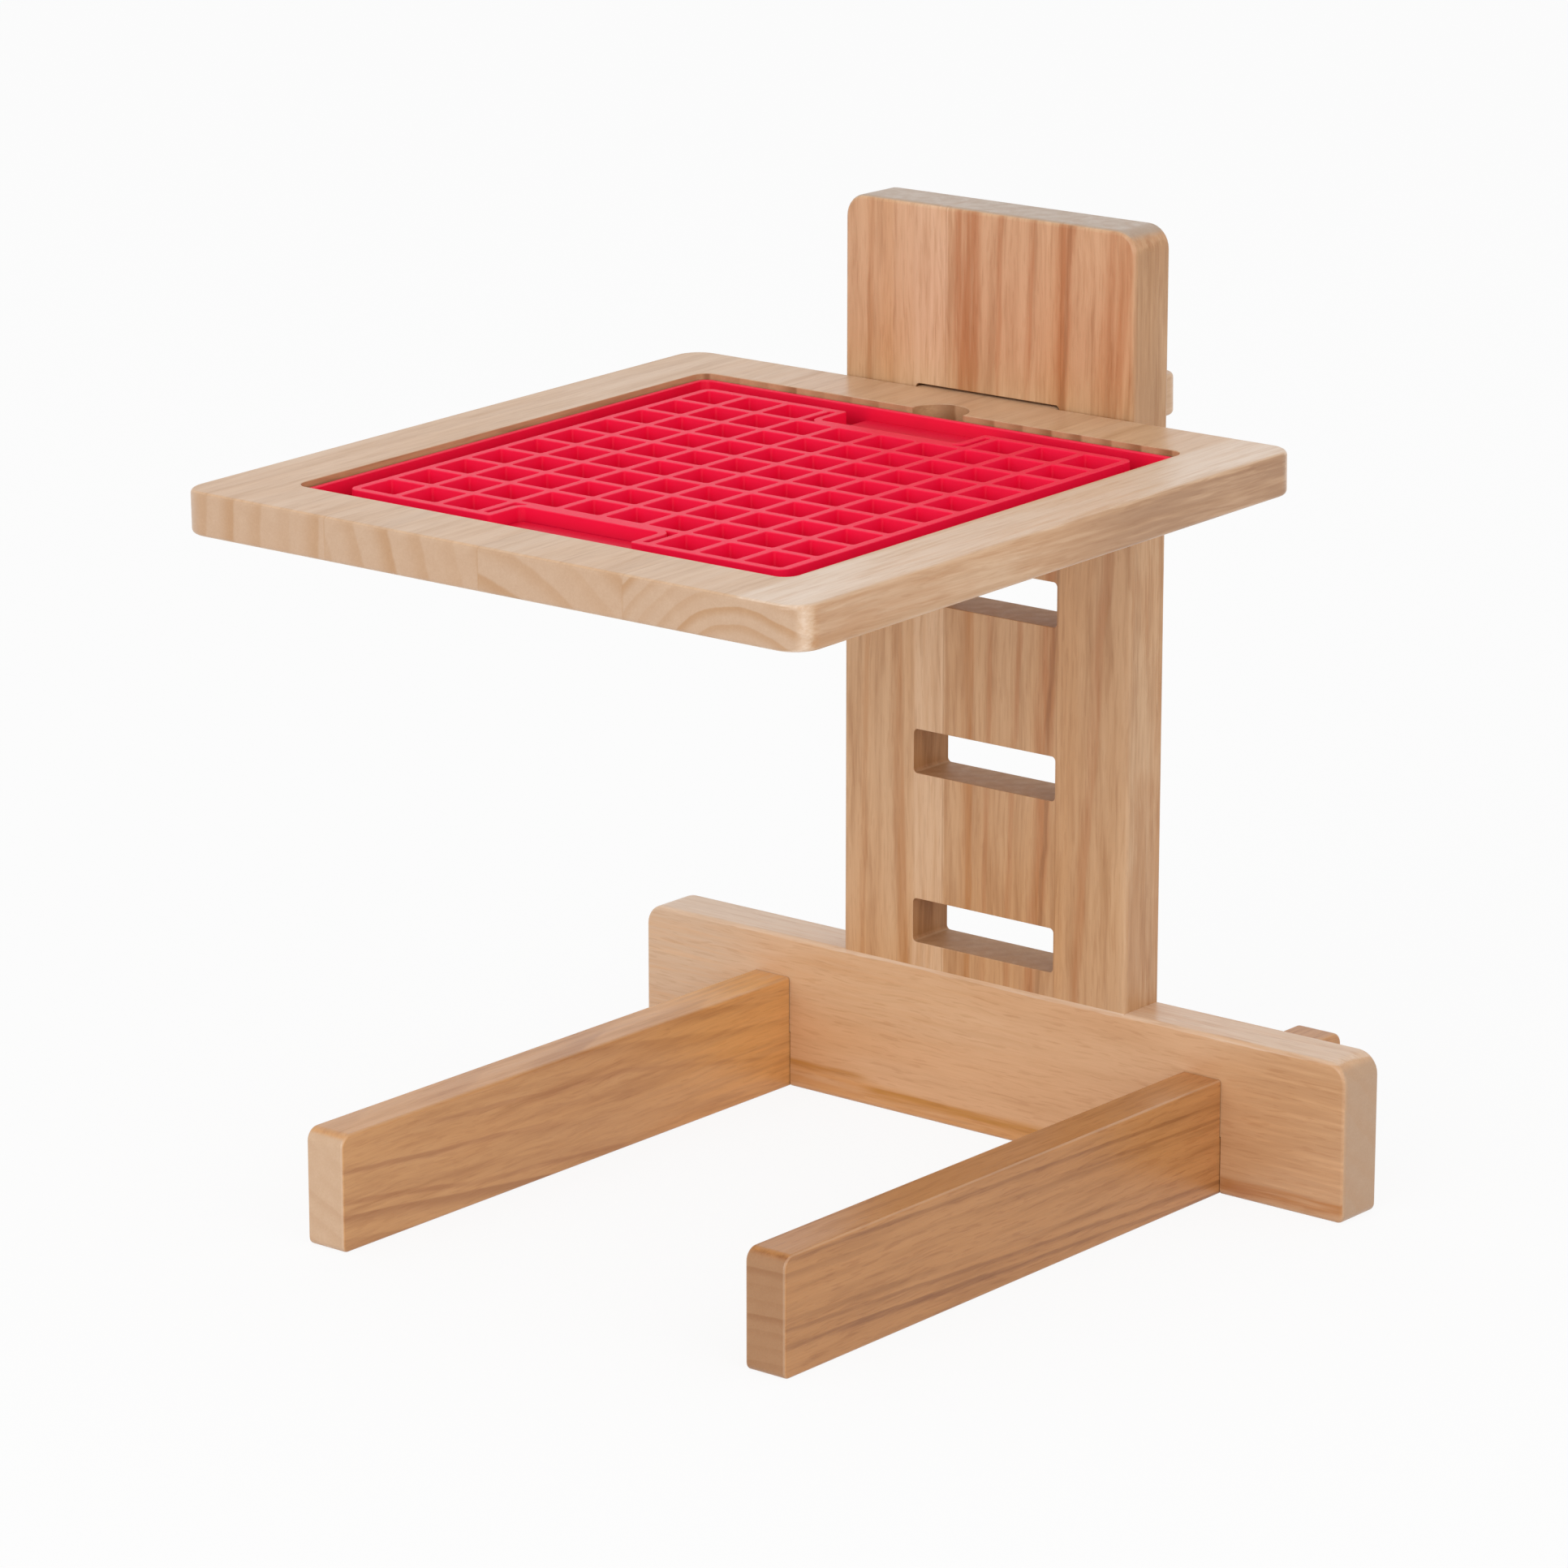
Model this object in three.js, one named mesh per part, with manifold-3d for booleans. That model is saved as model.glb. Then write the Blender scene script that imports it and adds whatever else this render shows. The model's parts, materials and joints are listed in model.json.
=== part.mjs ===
// A knock-down wooden feeding stand for a pet, with a rubber-lined lick mat in its tray.
//
// An upright board stands on the top edge of a crossbar and is dowelled to it. Two legs lap
// under the crossbar. The tray is one board with a tongue, and the tongue passes through one
// of the upright's slots, so the tray can stand at several heights. It hangs from the slot as
// a cantilever, and droops until it bears on the slot's front lower and rear upper edges.
//
// Millimetres. X runs along the crossbar, -Y is the front, where the pet stands, and Z is up.
// The origin is on the floor, under the middle of the crossbar.

import * as THREE from 'three';
import { mergeVertices } from 'three/addons/utils/BufferGeometryUtils.js';
import Module from 'manifold-3d';

const wasm = await Module();
wasm.setup();

// ---- Driving dimensions ----------------------------------------------------------------

// Boards of the frame
const BOARD_THICKNESS = 19.4;      // crossbar and upright
const BOARD_ARRIS = 1.5;          // rounding of the long edges of crossbar, upright and tray
const CROSSBAR_LENGTH = 300.5;
const CROSSBAR_HEIGHT = 55;
const CROSSBAR_CORNER = 7.5;      // upper corners, seen from the front
const CROSSBAR_FOOT_CORNER = 2;
const UPRIGHT_WIDTH = 120.8;
const UPRIGHT_CORNER = 8;
const UPRIGHT_HEAD = 61.4;        // wood above the top slot

// Slots for the tray's tongue
const SLOT_COUNT = 4;
const SLOT_WIDTH = 60;
const SLOT_PITCH = 60;
const SLOT_SILL = 8.6;            // wood between the crossbar and the lowest slot
const SLOT_CORNER = 1.5;
const SLOT_CLEARANCE = 1;         // slot height over the tray's thickness
const SLOT_SIDE_GAP = 0.5;        // each side of the tongue
const TRAY_SLOT = 3;              // slot that holds the tray, counted from 0 at the bottom

// Legs and their lap joints with the crossbar
const LEG_SPACING = 185;          // between centres
const LEG_THICKNESS = 15.8;
const LEG_HEIGHT = 40;
const LEG_REACH = 229;            // in front of the crossbar
const LEG_TAIL = 51;              // behind the crossbar
const LEG_CORNER = 5;             // upper corners, seen from the side
const LEG_FOOT_CORNER = 1.2;
const LEG_ARRIS = 1;
const LAP_WEB = 20;               // height of the leg left under the crossbar
const LAP_GAP = 0.3;              // all round a lap joint

// Dowels that hold the upright on the crossbar
const DOWEL_DIAMETER = 8;
const DOWEL_LENGTH = 50;
const DOWEL_SPACING = 13;         // between the two dowels of a stile
const DOWEL_CHAMFER = 1;
const DOWEL_GAP = 0.2;            // round the dowel
const DOWEL_END_GAP = 0.5;

// Tray board
const TRAY_THICKNESS = 14.4;
const TRAY_MARGIN = 26.0;         // wood round the recess
const TRAY_CORNER = 9.5;
const TONGUE_TAIL = 50.5;         // behind the upright
const TONGUE_CORNER = 7;
const SHOULDER_GAP = 0.3;         // between the tray's rear edge and the upright
const SEAT_GAP = 0.3;             // where the drooping tongue bears in its slot
const RECESS_DEPTH = 11.3;
const RECESS_CORNER = 5;
const RECESS_GAP = 0.7;           // round the mat
const FINGER_RADIUS = 10.5;       // half-round finger notch behind the mat

// Lick mat: a hard dish with a soft pocketed pad on its floor
const CELL_COUNT = 10;            // along each side
const CELL_PITCH = 17.5;
const RIB_THICKNESS = 2.8;
const PAD_RIM = 3;
const PAD_CORNER = 4;
const PAD_FLOOR = 0.9;
const BAY_CELLS = 4;              // cells left out at the middle of the front and rear rows
const BAY_INSET = 5;              // from the cell line to the middle of the bay's side wall
const BAY_CORNER = 2.2;           // inside the bay's own wall
const GUTTER_WIDTH = 9.1;         // between the pad and the dish's wall
const DISH_WALL = 1.8;
const DISH_FLOOR = 1.4;
const DISH_HEIGHT = 9.1;
const DISH_CORNER = 4.5;
const DISH_ARRIS = 0.5;
const PLATE_RISE = 3.1;           // raised plate on the dish's floor in each bay
const MAT_GAP = 0.3;              // under the dish, and between the dish and the pad

// ---- Sizes worked out from them --------------------------------------------------------

const FRONT_FACE = -BOARD_THICKNESS / 2;
const REAR_FACE = BOARD_THICKNESS / 2;
const SLOT_HEIGHT = TRAY_THICKNESS + SLOT_CLEARANCE;
const slotBottom = index => CROSSBAR_HEIGHT + SLOT_SILL + index * SLOT_PITCH;
const UPRIGHT_TOP = slotBottom(SLOT_COUNT - 1) + SLOT_HEIGHT + UPRIGHT_HEAD;
const TONGUE_WIDTH = SLOT_WIDTH - 2 * SLOT_SIDE_GAP;
const DROOP = Math.atan((SLOT_CLEARANCE - 2 * SEAT_GAP) / BOARD_THICKNESS);

const LEG_FRONT = FRONT_FACE - LEG_REACH;
const LEG_REAR = REAR_FACE + LEG_TAIL;

const CELL_SIZE = CELL_PITCH - RIB_THICKNESS;
const PAD_SIDE = CELL_COUNT * CELL_PITCH - RIB_THICKNESS + 2 * PAD_RIM;
const DISH_INSIDE = PAD_SIDE + 2 * GUTTER_WIDTH;
const DISH_SIDE = DISH_INSIDE + 2 * DISH_WALL;
const RECESS_SIDE = DISH_SIDE + 2 * RECESS_GAP;
const TRAY_SIDE = RECESS_SIDE + 2 * TRAY_MARGIN;
const TRAY_CENTRE = -SHOULDER_GAP - TRAY_SIDE / 2;   // from the upright's front face
const PAD_HEIGHT = DISH_HEIGHT - DISH_FLOOR - MAT_GAP;
const BAY_LINE = BAY_CELLS / 2 * CELL_PITCH;
const BAY_HALF = BAY_LINE - BAY_INSET - RIB_THICKNESS / 2;
const END_ROW = (CELL_COUNT / 2 - 1) * CELL_PITCH + RIB_THICKNESS / 2;
const BAY_BACK = END_ROW + RIB_THICKNESS;

const ARC_STEPS = 2;
const ARRIS_STEPS = 2;
const ROUND_SIDES = 16;
const OVERCUT = 5;                // how far a cutter stands proud of the wood

// ---- Helpers ---------------------------------------------------------------------------

// Ways to lay an outline: its x, its y and the board's thickness along three axes.
const LAY = {
  front: [[1, 0, 0], [0, 0, 1], [0, -1, 0]],
  side: [[0, 1, 0], [0, 0, 1], [1, 0, 0]],
  flat: [[1, 0, 0], [0, 1, 0], [0, 0, 1]],
};

// A closed outline through corner points [x, y, radius], with each corner rounded.
function outline(corners) {
  const path = new THREE.Shape();
  corners.forEach(([x, y, radius], i) => {
    const here = new THREE.Vector2(x, y);
    const [before, after] = [-1, 1].map(step => {
      const [px, py] = corners.at((i + step) % corners.length);
      return new THREE.Vector2(px, py).sub(here).normalize();
    });
    const half = before.angleTo(after) / 2;
    const start = here.clone().addScaledVector(before, radius / Math.tan(half));
    if (i === 0) path.moveTo(start.x, start.y);
    else path.lineTo(start.x, start.y);
    if (radius === 0) return;
    const centre = before.clone().add(after).setLength(radius / Math.sin(half)).add(here);
    const end = here.clone().addScaledVector(after, radius / Math.tan(half));
    const [from, to] = [start, end].map(p => Math.atan2(p.y - centre.y, p.x - centre.x));
    path.absarc(centre.x, centre.y, radius, from, to, before.cross(after) > 0);
  });
  path.closePath();
  return path;
}

function rectangle(x0, y0, x1, y1, upper, lower = upper) {
  return outline([[x0, y0, lower], [x1, y0, lower], [x1, y1, upper], [x0, y1, upper]]);
}

function square(side, radius) {
  return rectangle(-side / 2, -side / 2, side / 2, side / 2, radius);
}

// A board of an outline, centred on its thickness, with its arrises rounded.
function board(shape, thickness, lay, arris = 0) {
  const geometry = new THREE.ExtrudeGeometry(shape, {
    depth: thickness - 2 * arris,
    curveSegments: ARC_STEPS,
    bevelEnabled: arris > 0,
    bevelThickness: arris,
    bevelSize: arris,
    bevelOffset: -arris,
    bevelSegments: ARRIS_STEPS,
  });
  geometry.translate(0, 0, arris - thickness / 2);
  const axes = LAY[lay].map(axis => new THREE.Vector3(...axis));
  return geometry.applyMatrix4(new THREE.Matrix4().makeBasis(...axes));
}

// A flat plate of an outline with its underside at a given height.
function plate(shape, height, base = 0, arris = 0) {
  return board(shape, height, 'flat', arris).translate(0, 0, base + height / 2);
}

function solid(geometry) {
  geometry.deleteAttribute('normal');
  geometry.deleteAttribute('uv');
  const merged = mergeVertices(geometry, 1e-4);
  return new wasm.Manifold(new wasm.Mesh({
    numProp: 3,
    vertProperties: new Float32Array(merged.attributes.position.array),
    triVerts: new Uint32Array(merged.index.array),
  }));
}

function fromSolid(body) {
  const { vertProperties, triVerts } = body.getMesh();
  const geometry = new THREE.BufferGeometry();
  geometry.setAttribute('position', new THREE.BufferAttribute(vertProperties, 3));
  geometry.setIndex(new THREE.BufferAttribute(triVerts, 1));
  geometry.computeVertexNormals();
  return geometry;
}

function cut(body, ...cutters) {
  return cutters.reduce((rest, cutter) => rest.subtract(solid(cutter)), body);
}

const wood = color => new THREE.MeshStandardMaterial({ color, roughness: 0.62, metalness: 0 });
const paleWood = wood(0xd2b193);
const tanWood = wood(0xc69a74);
const warmWood = wood(0xbd8f65);
const dishRed = new THREE.MeshStandardMaterial({ color: 0xd4032b, roughness: 0.45, metalness: 0 });
const padRed = new THREE.MeshStandardMaterial({ color: 0xe3123a, roughness: 0.6, metalness: 0 });

function part(name, geometry, material) {
  const mesh = new THREE.Mesh(geometry, material);
  mesh.name = name;
  return mesh;
}

// ---- Frame: crossbar, upright and dowels ------------------------------------------------

const STILE_CENTRE = (UPRIGHT_WIDTH + SLOT_WIDTH) / 4;
const dowelPlaces = [-1, 1].flatMap(side =>
  [-1, 1].map(step => side * STILE_CENTRE + step * DOWEL_SPACING / 2));

// Holes for the dowels, half in the crossbar and half in the upright.
function dowelHoles() {
  const radius = DOWEL_DIAMETER / 2 + DOWEL_GAP;
  const depth = DOWEL_LENGTH + 2 * DOWEL_END_GAP;
  return dowelPlaces.map(x => new THREE.CylinderGeometry(radius, radius, depth, ROUND_SIDES)
    .rotateX(Math.PI / 2)
    .translate(x, 0, CROSSBAR_HEIGHT));
}

function dowel() {
  const radius = DOWEL_DIAMETER / 2;
  const half = DOWEL_LENGTH / 2;
  const profile = [
    [0, -half], [radius - DOWEL_CHAMFER, -half], [radius, DOWEL_CHAMFER - half],
    [radius, half - DOWEL_CHAMFER], [radius - DOWEL_CHAMFER, half], [0, half],
  ].map(point => new THREE.Vector2(...point));
  return new THREE.LatheGeometry(profile, ROUND_SIDES).rotateX(Math.PI / 2);
}

// The upright's own section, on which it stands flush with the crossbar's faces.
function uprightFoot() {
  const depth = 2 * BOARD_ARRIS;
  const section = rectangle(-UPRIGHT_WIDTH / 2, FRONT_FACE, UPRIGHT_WIDTH / 2, REAR_FACE,
    BOARD_ARRIS);
  return plate(section, depth, CROSSBAR_HEIGHT - depth);
}

// Notch from below that drops over a leg.
function legNotch(x) {
  const half = LEG_THICKNESS / 2 + LAP_GAP;
  const opening = rectangle(x - half, -OVERCUT, x + half, LAP_WEB + LAP_GAP / 2, 0);
  return board(opening, BOARD_THICKNESS + 2 * OVERCUT, 'front');
}

function crossbar() {
  const bar = rectangle(-CROSSBAR_LENGTH / 2, 0, CROSSBAR_LENGTH / 2, CROSSBAR_HEIGHT,
    CROSSBAR_CORNER, CROSSBAR_FOOT_CORNER);
  const body = solid(board(bar, BOARD_THICKNESS, 'front', BOARD_ARRIS)).add(solid(uprightFoot()));
  const notches = [-1, 1].map(side => legNotch(side * LEG_SPACING / 2));
  return fromSolid(cut(body, ...notches, ...dowelHoles()));
}

function traySlot(index) {
  const bottom = slotBottom(index);
  const opening = rectangle(-SLOT_WIDTH / 2, bottom, SLOT_WIDTH / 2, bottom + SLOT_HEIGHT,
    SLOT_CORNER);
  return board(opening, BOARD_THICKNESS + 2 * OVERCUT, 'front');
}

function upright() {
  const half = UPRIGHT_WIDTH / 2;
  const below = CROSSBAR_HEIGHT - 2 * BOARD_ARRIS;
  const face = outline([
    [-half, below, 0], [half, below, 0],
    [half, UPRIGHT_TOP, UPRIGHT_CORNER], [-half, UPRIGHT_TOP, UPRIGHT_CORNER],
  ]);
  const foot = board(rectangle(-half - OVERCUT, below - OVERCUT, half + OVERCUT, CROSSBAR_HEIGHT, 0),
    BOARD_THICKNESS + 2 * OVERCUT, 'front');
  const slots = Array.from({ length: SLOT_COUNT }, (_, index) => traySlot(index));
  const body = solid(board(face, BOARD_THICKNESS, 'front', BOARD_ARRIS));
  return fromSolid(cut(body, foot, ...slots, ...dowelHoles()));
}

function frame() {
  const group = new THREE.Group();
  group.add(part('crossbar', crossbar(), tanWood), part('upright', upright(), tanWood));
  dowelPlaces.forEach((x, index) => {
    const pin = part(`dowel_${index + 1}`, dowel(), paleWood);
    pin.position.set(x, 0, CROSSBAR_HEIGHT);
    group.add(pin);
  });
  return group;
}

// ---- Legs ------------------------------------------------------------------------------

// One leg, notched from above so that the crossbar sits in it.
function leg() {
  const bar = rectangle(LEG_FRONT, 0, LEG_REAR, LEG_HEIGHT, LEG_CORNER, LEG_FOOT_CORNER);
  const notch = rectangle(FRONT_FACE - LAP_GAP, LAP_WEB - LAP_GAP / 2, REAR_FACE + LAP_GAP,
    LEG_HEIGHT + OVERCUT, 0);
  return fromSolid(cut(solid(board(bar, LEG_THICKNESS, 'side', LEG_ARRIS)),
    board(notch, LEG_THICKNESS + 2 * OVERCUT, 'side')));
}

function legs() {
  const group = new THREE.Group();
  const left = part('leg_left', leg(), warmWood);
  const right = part('leg_right', leg(), warmWood);
  left.position.x = -LEG_SPACING / 2;
  right.position.x = LEG_SPACING / 2;
  group.add(left, right);
  return group;
}

// ---- Tray ------------------------------------------------------------------------------
// Local frame: the tray's underside is z = 0, and y = 0 is the upright's front face.

function trayBoard() {
  const half = TRAY_SIDE / 2;
  const tongue = TONGUE_WIDTH / 2;
  const tail = BOARD_THICKNESS + TONGUE_TAIL;
  const front = -SHOULDER_GAP - TRAY_SIDE;
  const plan = outline([
    [-half, front, TRAY_CORNER], [half, front, TRAY_CORNER],
    [half, -SHOULDER_GAP, TRAY_CORNER], [tongue, -SHOULDER_GAP, 0],
    [tongue, tail, TONGUE_CORNER], [-tongue, tail, TONGUE_CORNER],
    [-tongue, -SHOULDER_GAP, 0], [-half, -SHOULDER_GAP, TRAY_CORNER],
  ]);
  const floor = TRAY_THICKNESS - RECESS_DEPTH;
  const depth = RECESS_DEPTH + OVERCUT;
  const recess = plate(square(RECESS_SIDE, RECESS_CORNER), depth, floor)
    .translate(0, TRAY_CENTRE, 0);
  const finger = new THREE.CylinderGeometry(FINGER_RADIUS, FINGER_RADIUS, depth, 2 * ROUND_SIDES)
    .rotateX(Math.PI / 2)
    .translate(0, TRAY_CENTRE + RECESS_SIDE / 2, floor + depth / 2);
  return fromSolid(cut(solid(plate(plan, TRAY_THICKNESS, 0, BOARD_ARRIS)), recess, finger));
}

// ---- Lick mat --------------------------------------------------------------------------
// Local frame: centred on the mat, with the underside of the dish at z = 0.

function matDish() {
  const body = cut(solid(plate(square(DISH_SIDE, DISH_CORNER), DISH_HEIGHT, 0, DISH_ARRIS)),
    plate(square(DISH_INSIDE, DISH_CORNER - DISH_WALL), DISH_HEIGHT, DISH_FLOOR));
  const half = BAY_HALF - MAT_GAP;
  const plates = [-1, 1].map(end => {
    const edges = [BAY_BACK + MAT_GAP, (DISH_INSIDE + DISH_WALL) / 2].map(y => end * y);
    const radii = end > 0 ? [0, BAY_CORNER] : [BAY_CORNER, 0];
    const shape = rectangle(-half, Math.min(...edges), half, Math.max(...edges), ...radii);
    return solid(plate(shape, DISH_FLOOR + PLATE_RISE));
  });
  return fromSolid(plates.reduce((dish, raised) => dish.add(raised), body));
}

// Pockets of the pad, leaving out the cells of the two bays.
function pockets() {
  const cells = [];
  const edge = index => (index - CELL_COUNT / 2) * CELL_PITCH + RIB_THICKNESS / 2;
  const firstBay = (CELL_COUNT - BAY_CELLS) / 2;
  for (let row = 0; row < CELL_COUNT; row++) {
    const endRow = row === 0 || row === CELL_COUNT - 1;
    for (let column = 0; column < CELL_COUNT; column++) {
      const inBay = endRow && column >= firstBay && column < firstBay + BAY_CELLS;
      if (inBay) continue;
      const [x, y] = [edge(column), edge(row)];
      cells.push(rectangle(x, y, x + CELL_SIZE, y + CELL_SIZE, 0));
    }
  }
  return cells.map(cell => solid(plate(cell, PAD_HEIGHT, PAD_FLOOR)));
}

// Slit between the rounded wall of a bay and the nearest rib, on one side of one end.
function slit(side, end) {
  const xs = [BAY_HALF, BAY_LINE - RIB_THICKNESS / 2].map(x => side * x);
  const ys = [END_ROW, END_ROW + CELL_SIZE].map(y => end * y);
  const space = rectangle(Math.min(...xs), Math.min(...ys), Math.max(...xs), Math.max(...ys), 0);
  const half = BAY_HALF + RIB_THICKNESS;
  const radius = BAY_CORNER + RIB_THICKNESS;
  const reach = [END_ROW, PAD_SIDE].map(y => end * y);
  const wall = rectangle(-half, Math.min(...reach), half, Math.max(...reach), radius);
  return cut(solid(plate(space, PAD_HEIGHT, PAD_FLOOR)), plate(wall, 2 * PAD_HEIGHT));
}

function padOutline() {
  const half = PAD_SIDE / 2;
  const lip = RIB_THICKNESS / 2;
  return outline([
    [-half, -half, PAD_CORNER], [-BAY_HALF, -half, lip], [-BAY_HALF, -BAY_BACK, BAY_CORNER],
    [BAY_HALF, -BAY_BACK, BAY_CORNER], [BAY_HALF, -half, lip], [half, -half, PAD_CORNER],
    [half, half, PAD_CORNER], [BAY_HALF, half, lip], [BAY_HALF, BAY_BACK, BAY_CORNER],
    [-BAY_HALF, BAY_BACK, BAY_CORNER], [-BAY_HALF, half, lip], [-half, half, PAD_CORNER],
  ]);
}

function matPad() {
  const slits = [-1, 1].flatMap(side => [-1, 1].map(end => slit(side, end)));
  return fromSolid([...pockets(), ...slits].reduce((pad, well) => pad.subtract(well),
    solid(plate(padOutline(), PAD_HEIGHT))));
}

// ---- Assembly --------------------------------------------------------------------------

function tray() {
  const group = new THREE.Group();
  group.position.set(0, FRONT_FACE, slotBottom(TRAY_SLOT) + SEAT_GAP);
  group.rotation.x = DROOP;
  group.add(part('tray_board', trayBoard(), paleWood));

  const mat = new THREE.Group();
  mat.position.set(0, TRAY_CENTRE, TRAY_THICKNESS - RECESS_DEPTH + MAT_GAP);
  const pad = part('mat_pad', matPad(), padRed);
  pad.position.z = DISH_FLOOR + MAT_GAP;
  mat.add(part('mat_dish', matDish(), dishRed), pad);
  group.add(mat);
  return group;
}

const stand = new THREE.Group();
stand.add(frame(), legs(), tray());

export default stand;
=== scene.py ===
"""A knock-down feeding stand for a pet: oiled boards and a red lick mat in the tray.

Lengths are in metres. X runs along the crossbar, -Y is the front and Z is up.
"""
import json
import math

import bmesh
import bpy
from mathutils import Matrix, Vector
from mathutils.geometry import tessellate_polygon


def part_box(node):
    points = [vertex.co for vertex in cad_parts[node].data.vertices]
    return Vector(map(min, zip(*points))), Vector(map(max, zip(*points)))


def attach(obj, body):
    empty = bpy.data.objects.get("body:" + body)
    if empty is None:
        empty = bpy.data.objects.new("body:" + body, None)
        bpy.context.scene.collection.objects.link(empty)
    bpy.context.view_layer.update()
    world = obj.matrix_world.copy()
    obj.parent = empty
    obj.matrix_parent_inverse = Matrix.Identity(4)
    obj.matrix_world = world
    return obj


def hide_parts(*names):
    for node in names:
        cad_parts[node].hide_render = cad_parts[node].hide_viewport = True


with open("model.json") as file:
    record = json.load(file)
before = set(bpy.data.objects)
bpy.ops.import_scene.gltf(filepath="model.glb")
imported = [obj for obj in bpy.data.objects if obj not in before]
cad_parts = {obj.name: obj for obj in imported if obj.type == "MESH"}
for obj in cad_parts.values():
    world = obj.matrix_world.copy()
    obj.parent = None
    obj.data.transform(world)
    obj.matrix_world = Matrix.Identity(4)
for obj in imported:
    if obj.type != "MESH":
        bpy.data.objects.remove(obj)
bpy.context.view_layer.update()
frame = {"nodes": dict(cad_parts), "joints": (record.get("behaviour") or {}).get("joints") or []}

# ---- Sizes -----------------------------------------------------------------------------

BAR_LOW, BAR_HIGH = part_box("crossbar")
POST_LOW, POST_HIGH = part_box("upright")
FRONT_FACE = BAR_LOW.y
BAR_THICKNESS = BAR_HIGH.y - BAR_LOW.y
POST_FOOT = POST_LOW.z
POST_SUNK = 0.02
TRAY_AXIS = Vector(next(joint["axis"] for joint in frame["joints"] if joint["name"] == "tray_slide"))
DROOP = math.asin(-TRAY_AXIS.z)

BOARD_ARRIS = 0.0015
BAR_CORNER = 0.0075
BAR_FOOT_CORNER = 0.0028
POST_CORNER = 0.008
FOOT_DEPTH = 2 * BOARD_ARRIS

SLOT_COUNT = 4
SLOT_WIDTH = 0.060
SLOT_PITCH = 0.060
SLOT_SILL = 0.0086
SLOT_CORNER = 0.0015
SLOT_CLEARANCE = 0.001
SLOT_EASE = 0.0004
TRAY_SLOT = 3

LEG_CORNER = 0.0045
LEG_FOOT_CORNER = 0.0025
LEG_ARRIS = 0.001
LAP_WEB = 0.020
LAP_GAP = 0.0003

DOWELS = [f"dowel_{number}" for number in range(1, 5)]
DOWEL_GAP = 0.0002
DOWEL_END_GAP = 0.0005

TRAY_THICKNESS = 0.0144
TRAY_SIDE = 0.2534
TRAY_CORNER = 0.0095
TONGUE_WIDTH = 0.059
TONGUE_TAIL = 0.0505
TONGUE_CORNER = 0.007
SHOULDER_GAP = 0.0003
SEAT_GAP = 0.0003
RECESS_SIDE = 0.2014
RECESS_DEPTH = 0.0113
RECESS_CORNER = 0.005
RECESS_EASE = 0.0004
FINGER_RADIUS = 0.0105
TRAY_CENTRE = -SHOULDER_GAP - TRAY_SIDE / 2

CELL_COUNT = 10
CELL_PITCH = 0.0175
RIB_THICKNESS = 0.0028
RIB_ROUND = 0.0003
CELL_CORNER = 0.0008
CELL_DRAFT = 0.00025
CELL_FILLET = 0.0008
SLIT_TURN = 63.0
SLIT_CORNER = 0.0005
SLIT_FILLET = 0.0001
PAD_SIDE = 0.1782
PAD_CORNER = 0.004
PAD_FLOOR = 0.0009
PAD_HEIGHT = 0.0074
BAY_HALF = 0.0286
BAY_LINE = 0.035
BAY_CORNER = 0.0022
END_ROW = (CELL_COUNT / 2 - 1) * CELL_PITCH + RIB_THICKNESS / 2
BAY_BACK = END_ROW + RIB_THICKNESS
DISH_SIDE = 0.200
DISH_HEIGHT = 0.0091
DISH_WALL = 0.0018
DISH_FLOOR = 0.0014
DISH_CORNER = 0.0045
DISH_ROUND = 0.0005
DISH_FILLET = 0.0012
PLATE_RISE = 0.0031
PLATE_ROUND = 0.0005
MAT_GAP = 0.0003

# The drooping tray's axes, from its seat in the slot, and the mat's, from under its middle.
TRAY_ORIGIN = Vector((0, FRONT_FACE, POST_FOOT + SLOT_SILL + TRAY_SLOT * SLOT_PITCH + SEAT_GAP))
TRAY_PLACE = Matrix.Translation(TRAY_ORIGIN) @ Matrix.Rotation(DROOP, 4, "X")
MAT_PLACE = TRAY_PLACE @ Matrix.Translation((0, TRAY_CENTRE, TRAY_THICKNESS - RECESS_DEPTH + MAT_GAP))

# How finely the curves are divided, and how far a cutter reaches.
ARC_STEPS = 8
ROUND_STEPS = 5
EASE_STEPS = 2
MOULD_STEPS = 3
WELL_STEPS = 3
DISH_FILLET_STEPS = 4
WELL_FILLET_STEPS = 2
DRILL_SIDES = 32
WELD = 1e-6
CREASE = 35
REACH = 1.0

# ---- Camera ----------------------------------------------------------------------------

VIEW_FROM = (1.2865, -1.6897, 0.7021)
VIEW_YAW = 39.271
VIEW_PITCH = 15.272
VIEW_LENS = 148.81
VIEW_SENSOR = 36
VIEW_NEAR = 0.05
VIEW_FAR = 50


def put(name, data):
    """Adds an object with the given data to the scene."""
    made = bpy.data.objects.new(name, data)
    bpy.context.scene.collection.objects.link(made)
    return made


def place_camera():
    """The camera, in front of the stand and to its right, looking down a little."""
    data = bpy.data.cameras.new("camera")
    data.lens = VIEW_LENS
    data.sensor_width = VIEW_SENSOR
    data.clip_start = VIEW_NEAR
    data.clip_end = VIEW_FAR
    camera = put("camera", data)
    camera.location = VIEW_FROM
    camera.rotation_euler = (math.radians(90 - VIEW_PITCH), 0, math.radians(VIEW_YAW))
    bpy.context.scene.camera = camera


# ---- Outlines --------------------------------------------------------------------------


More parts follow.
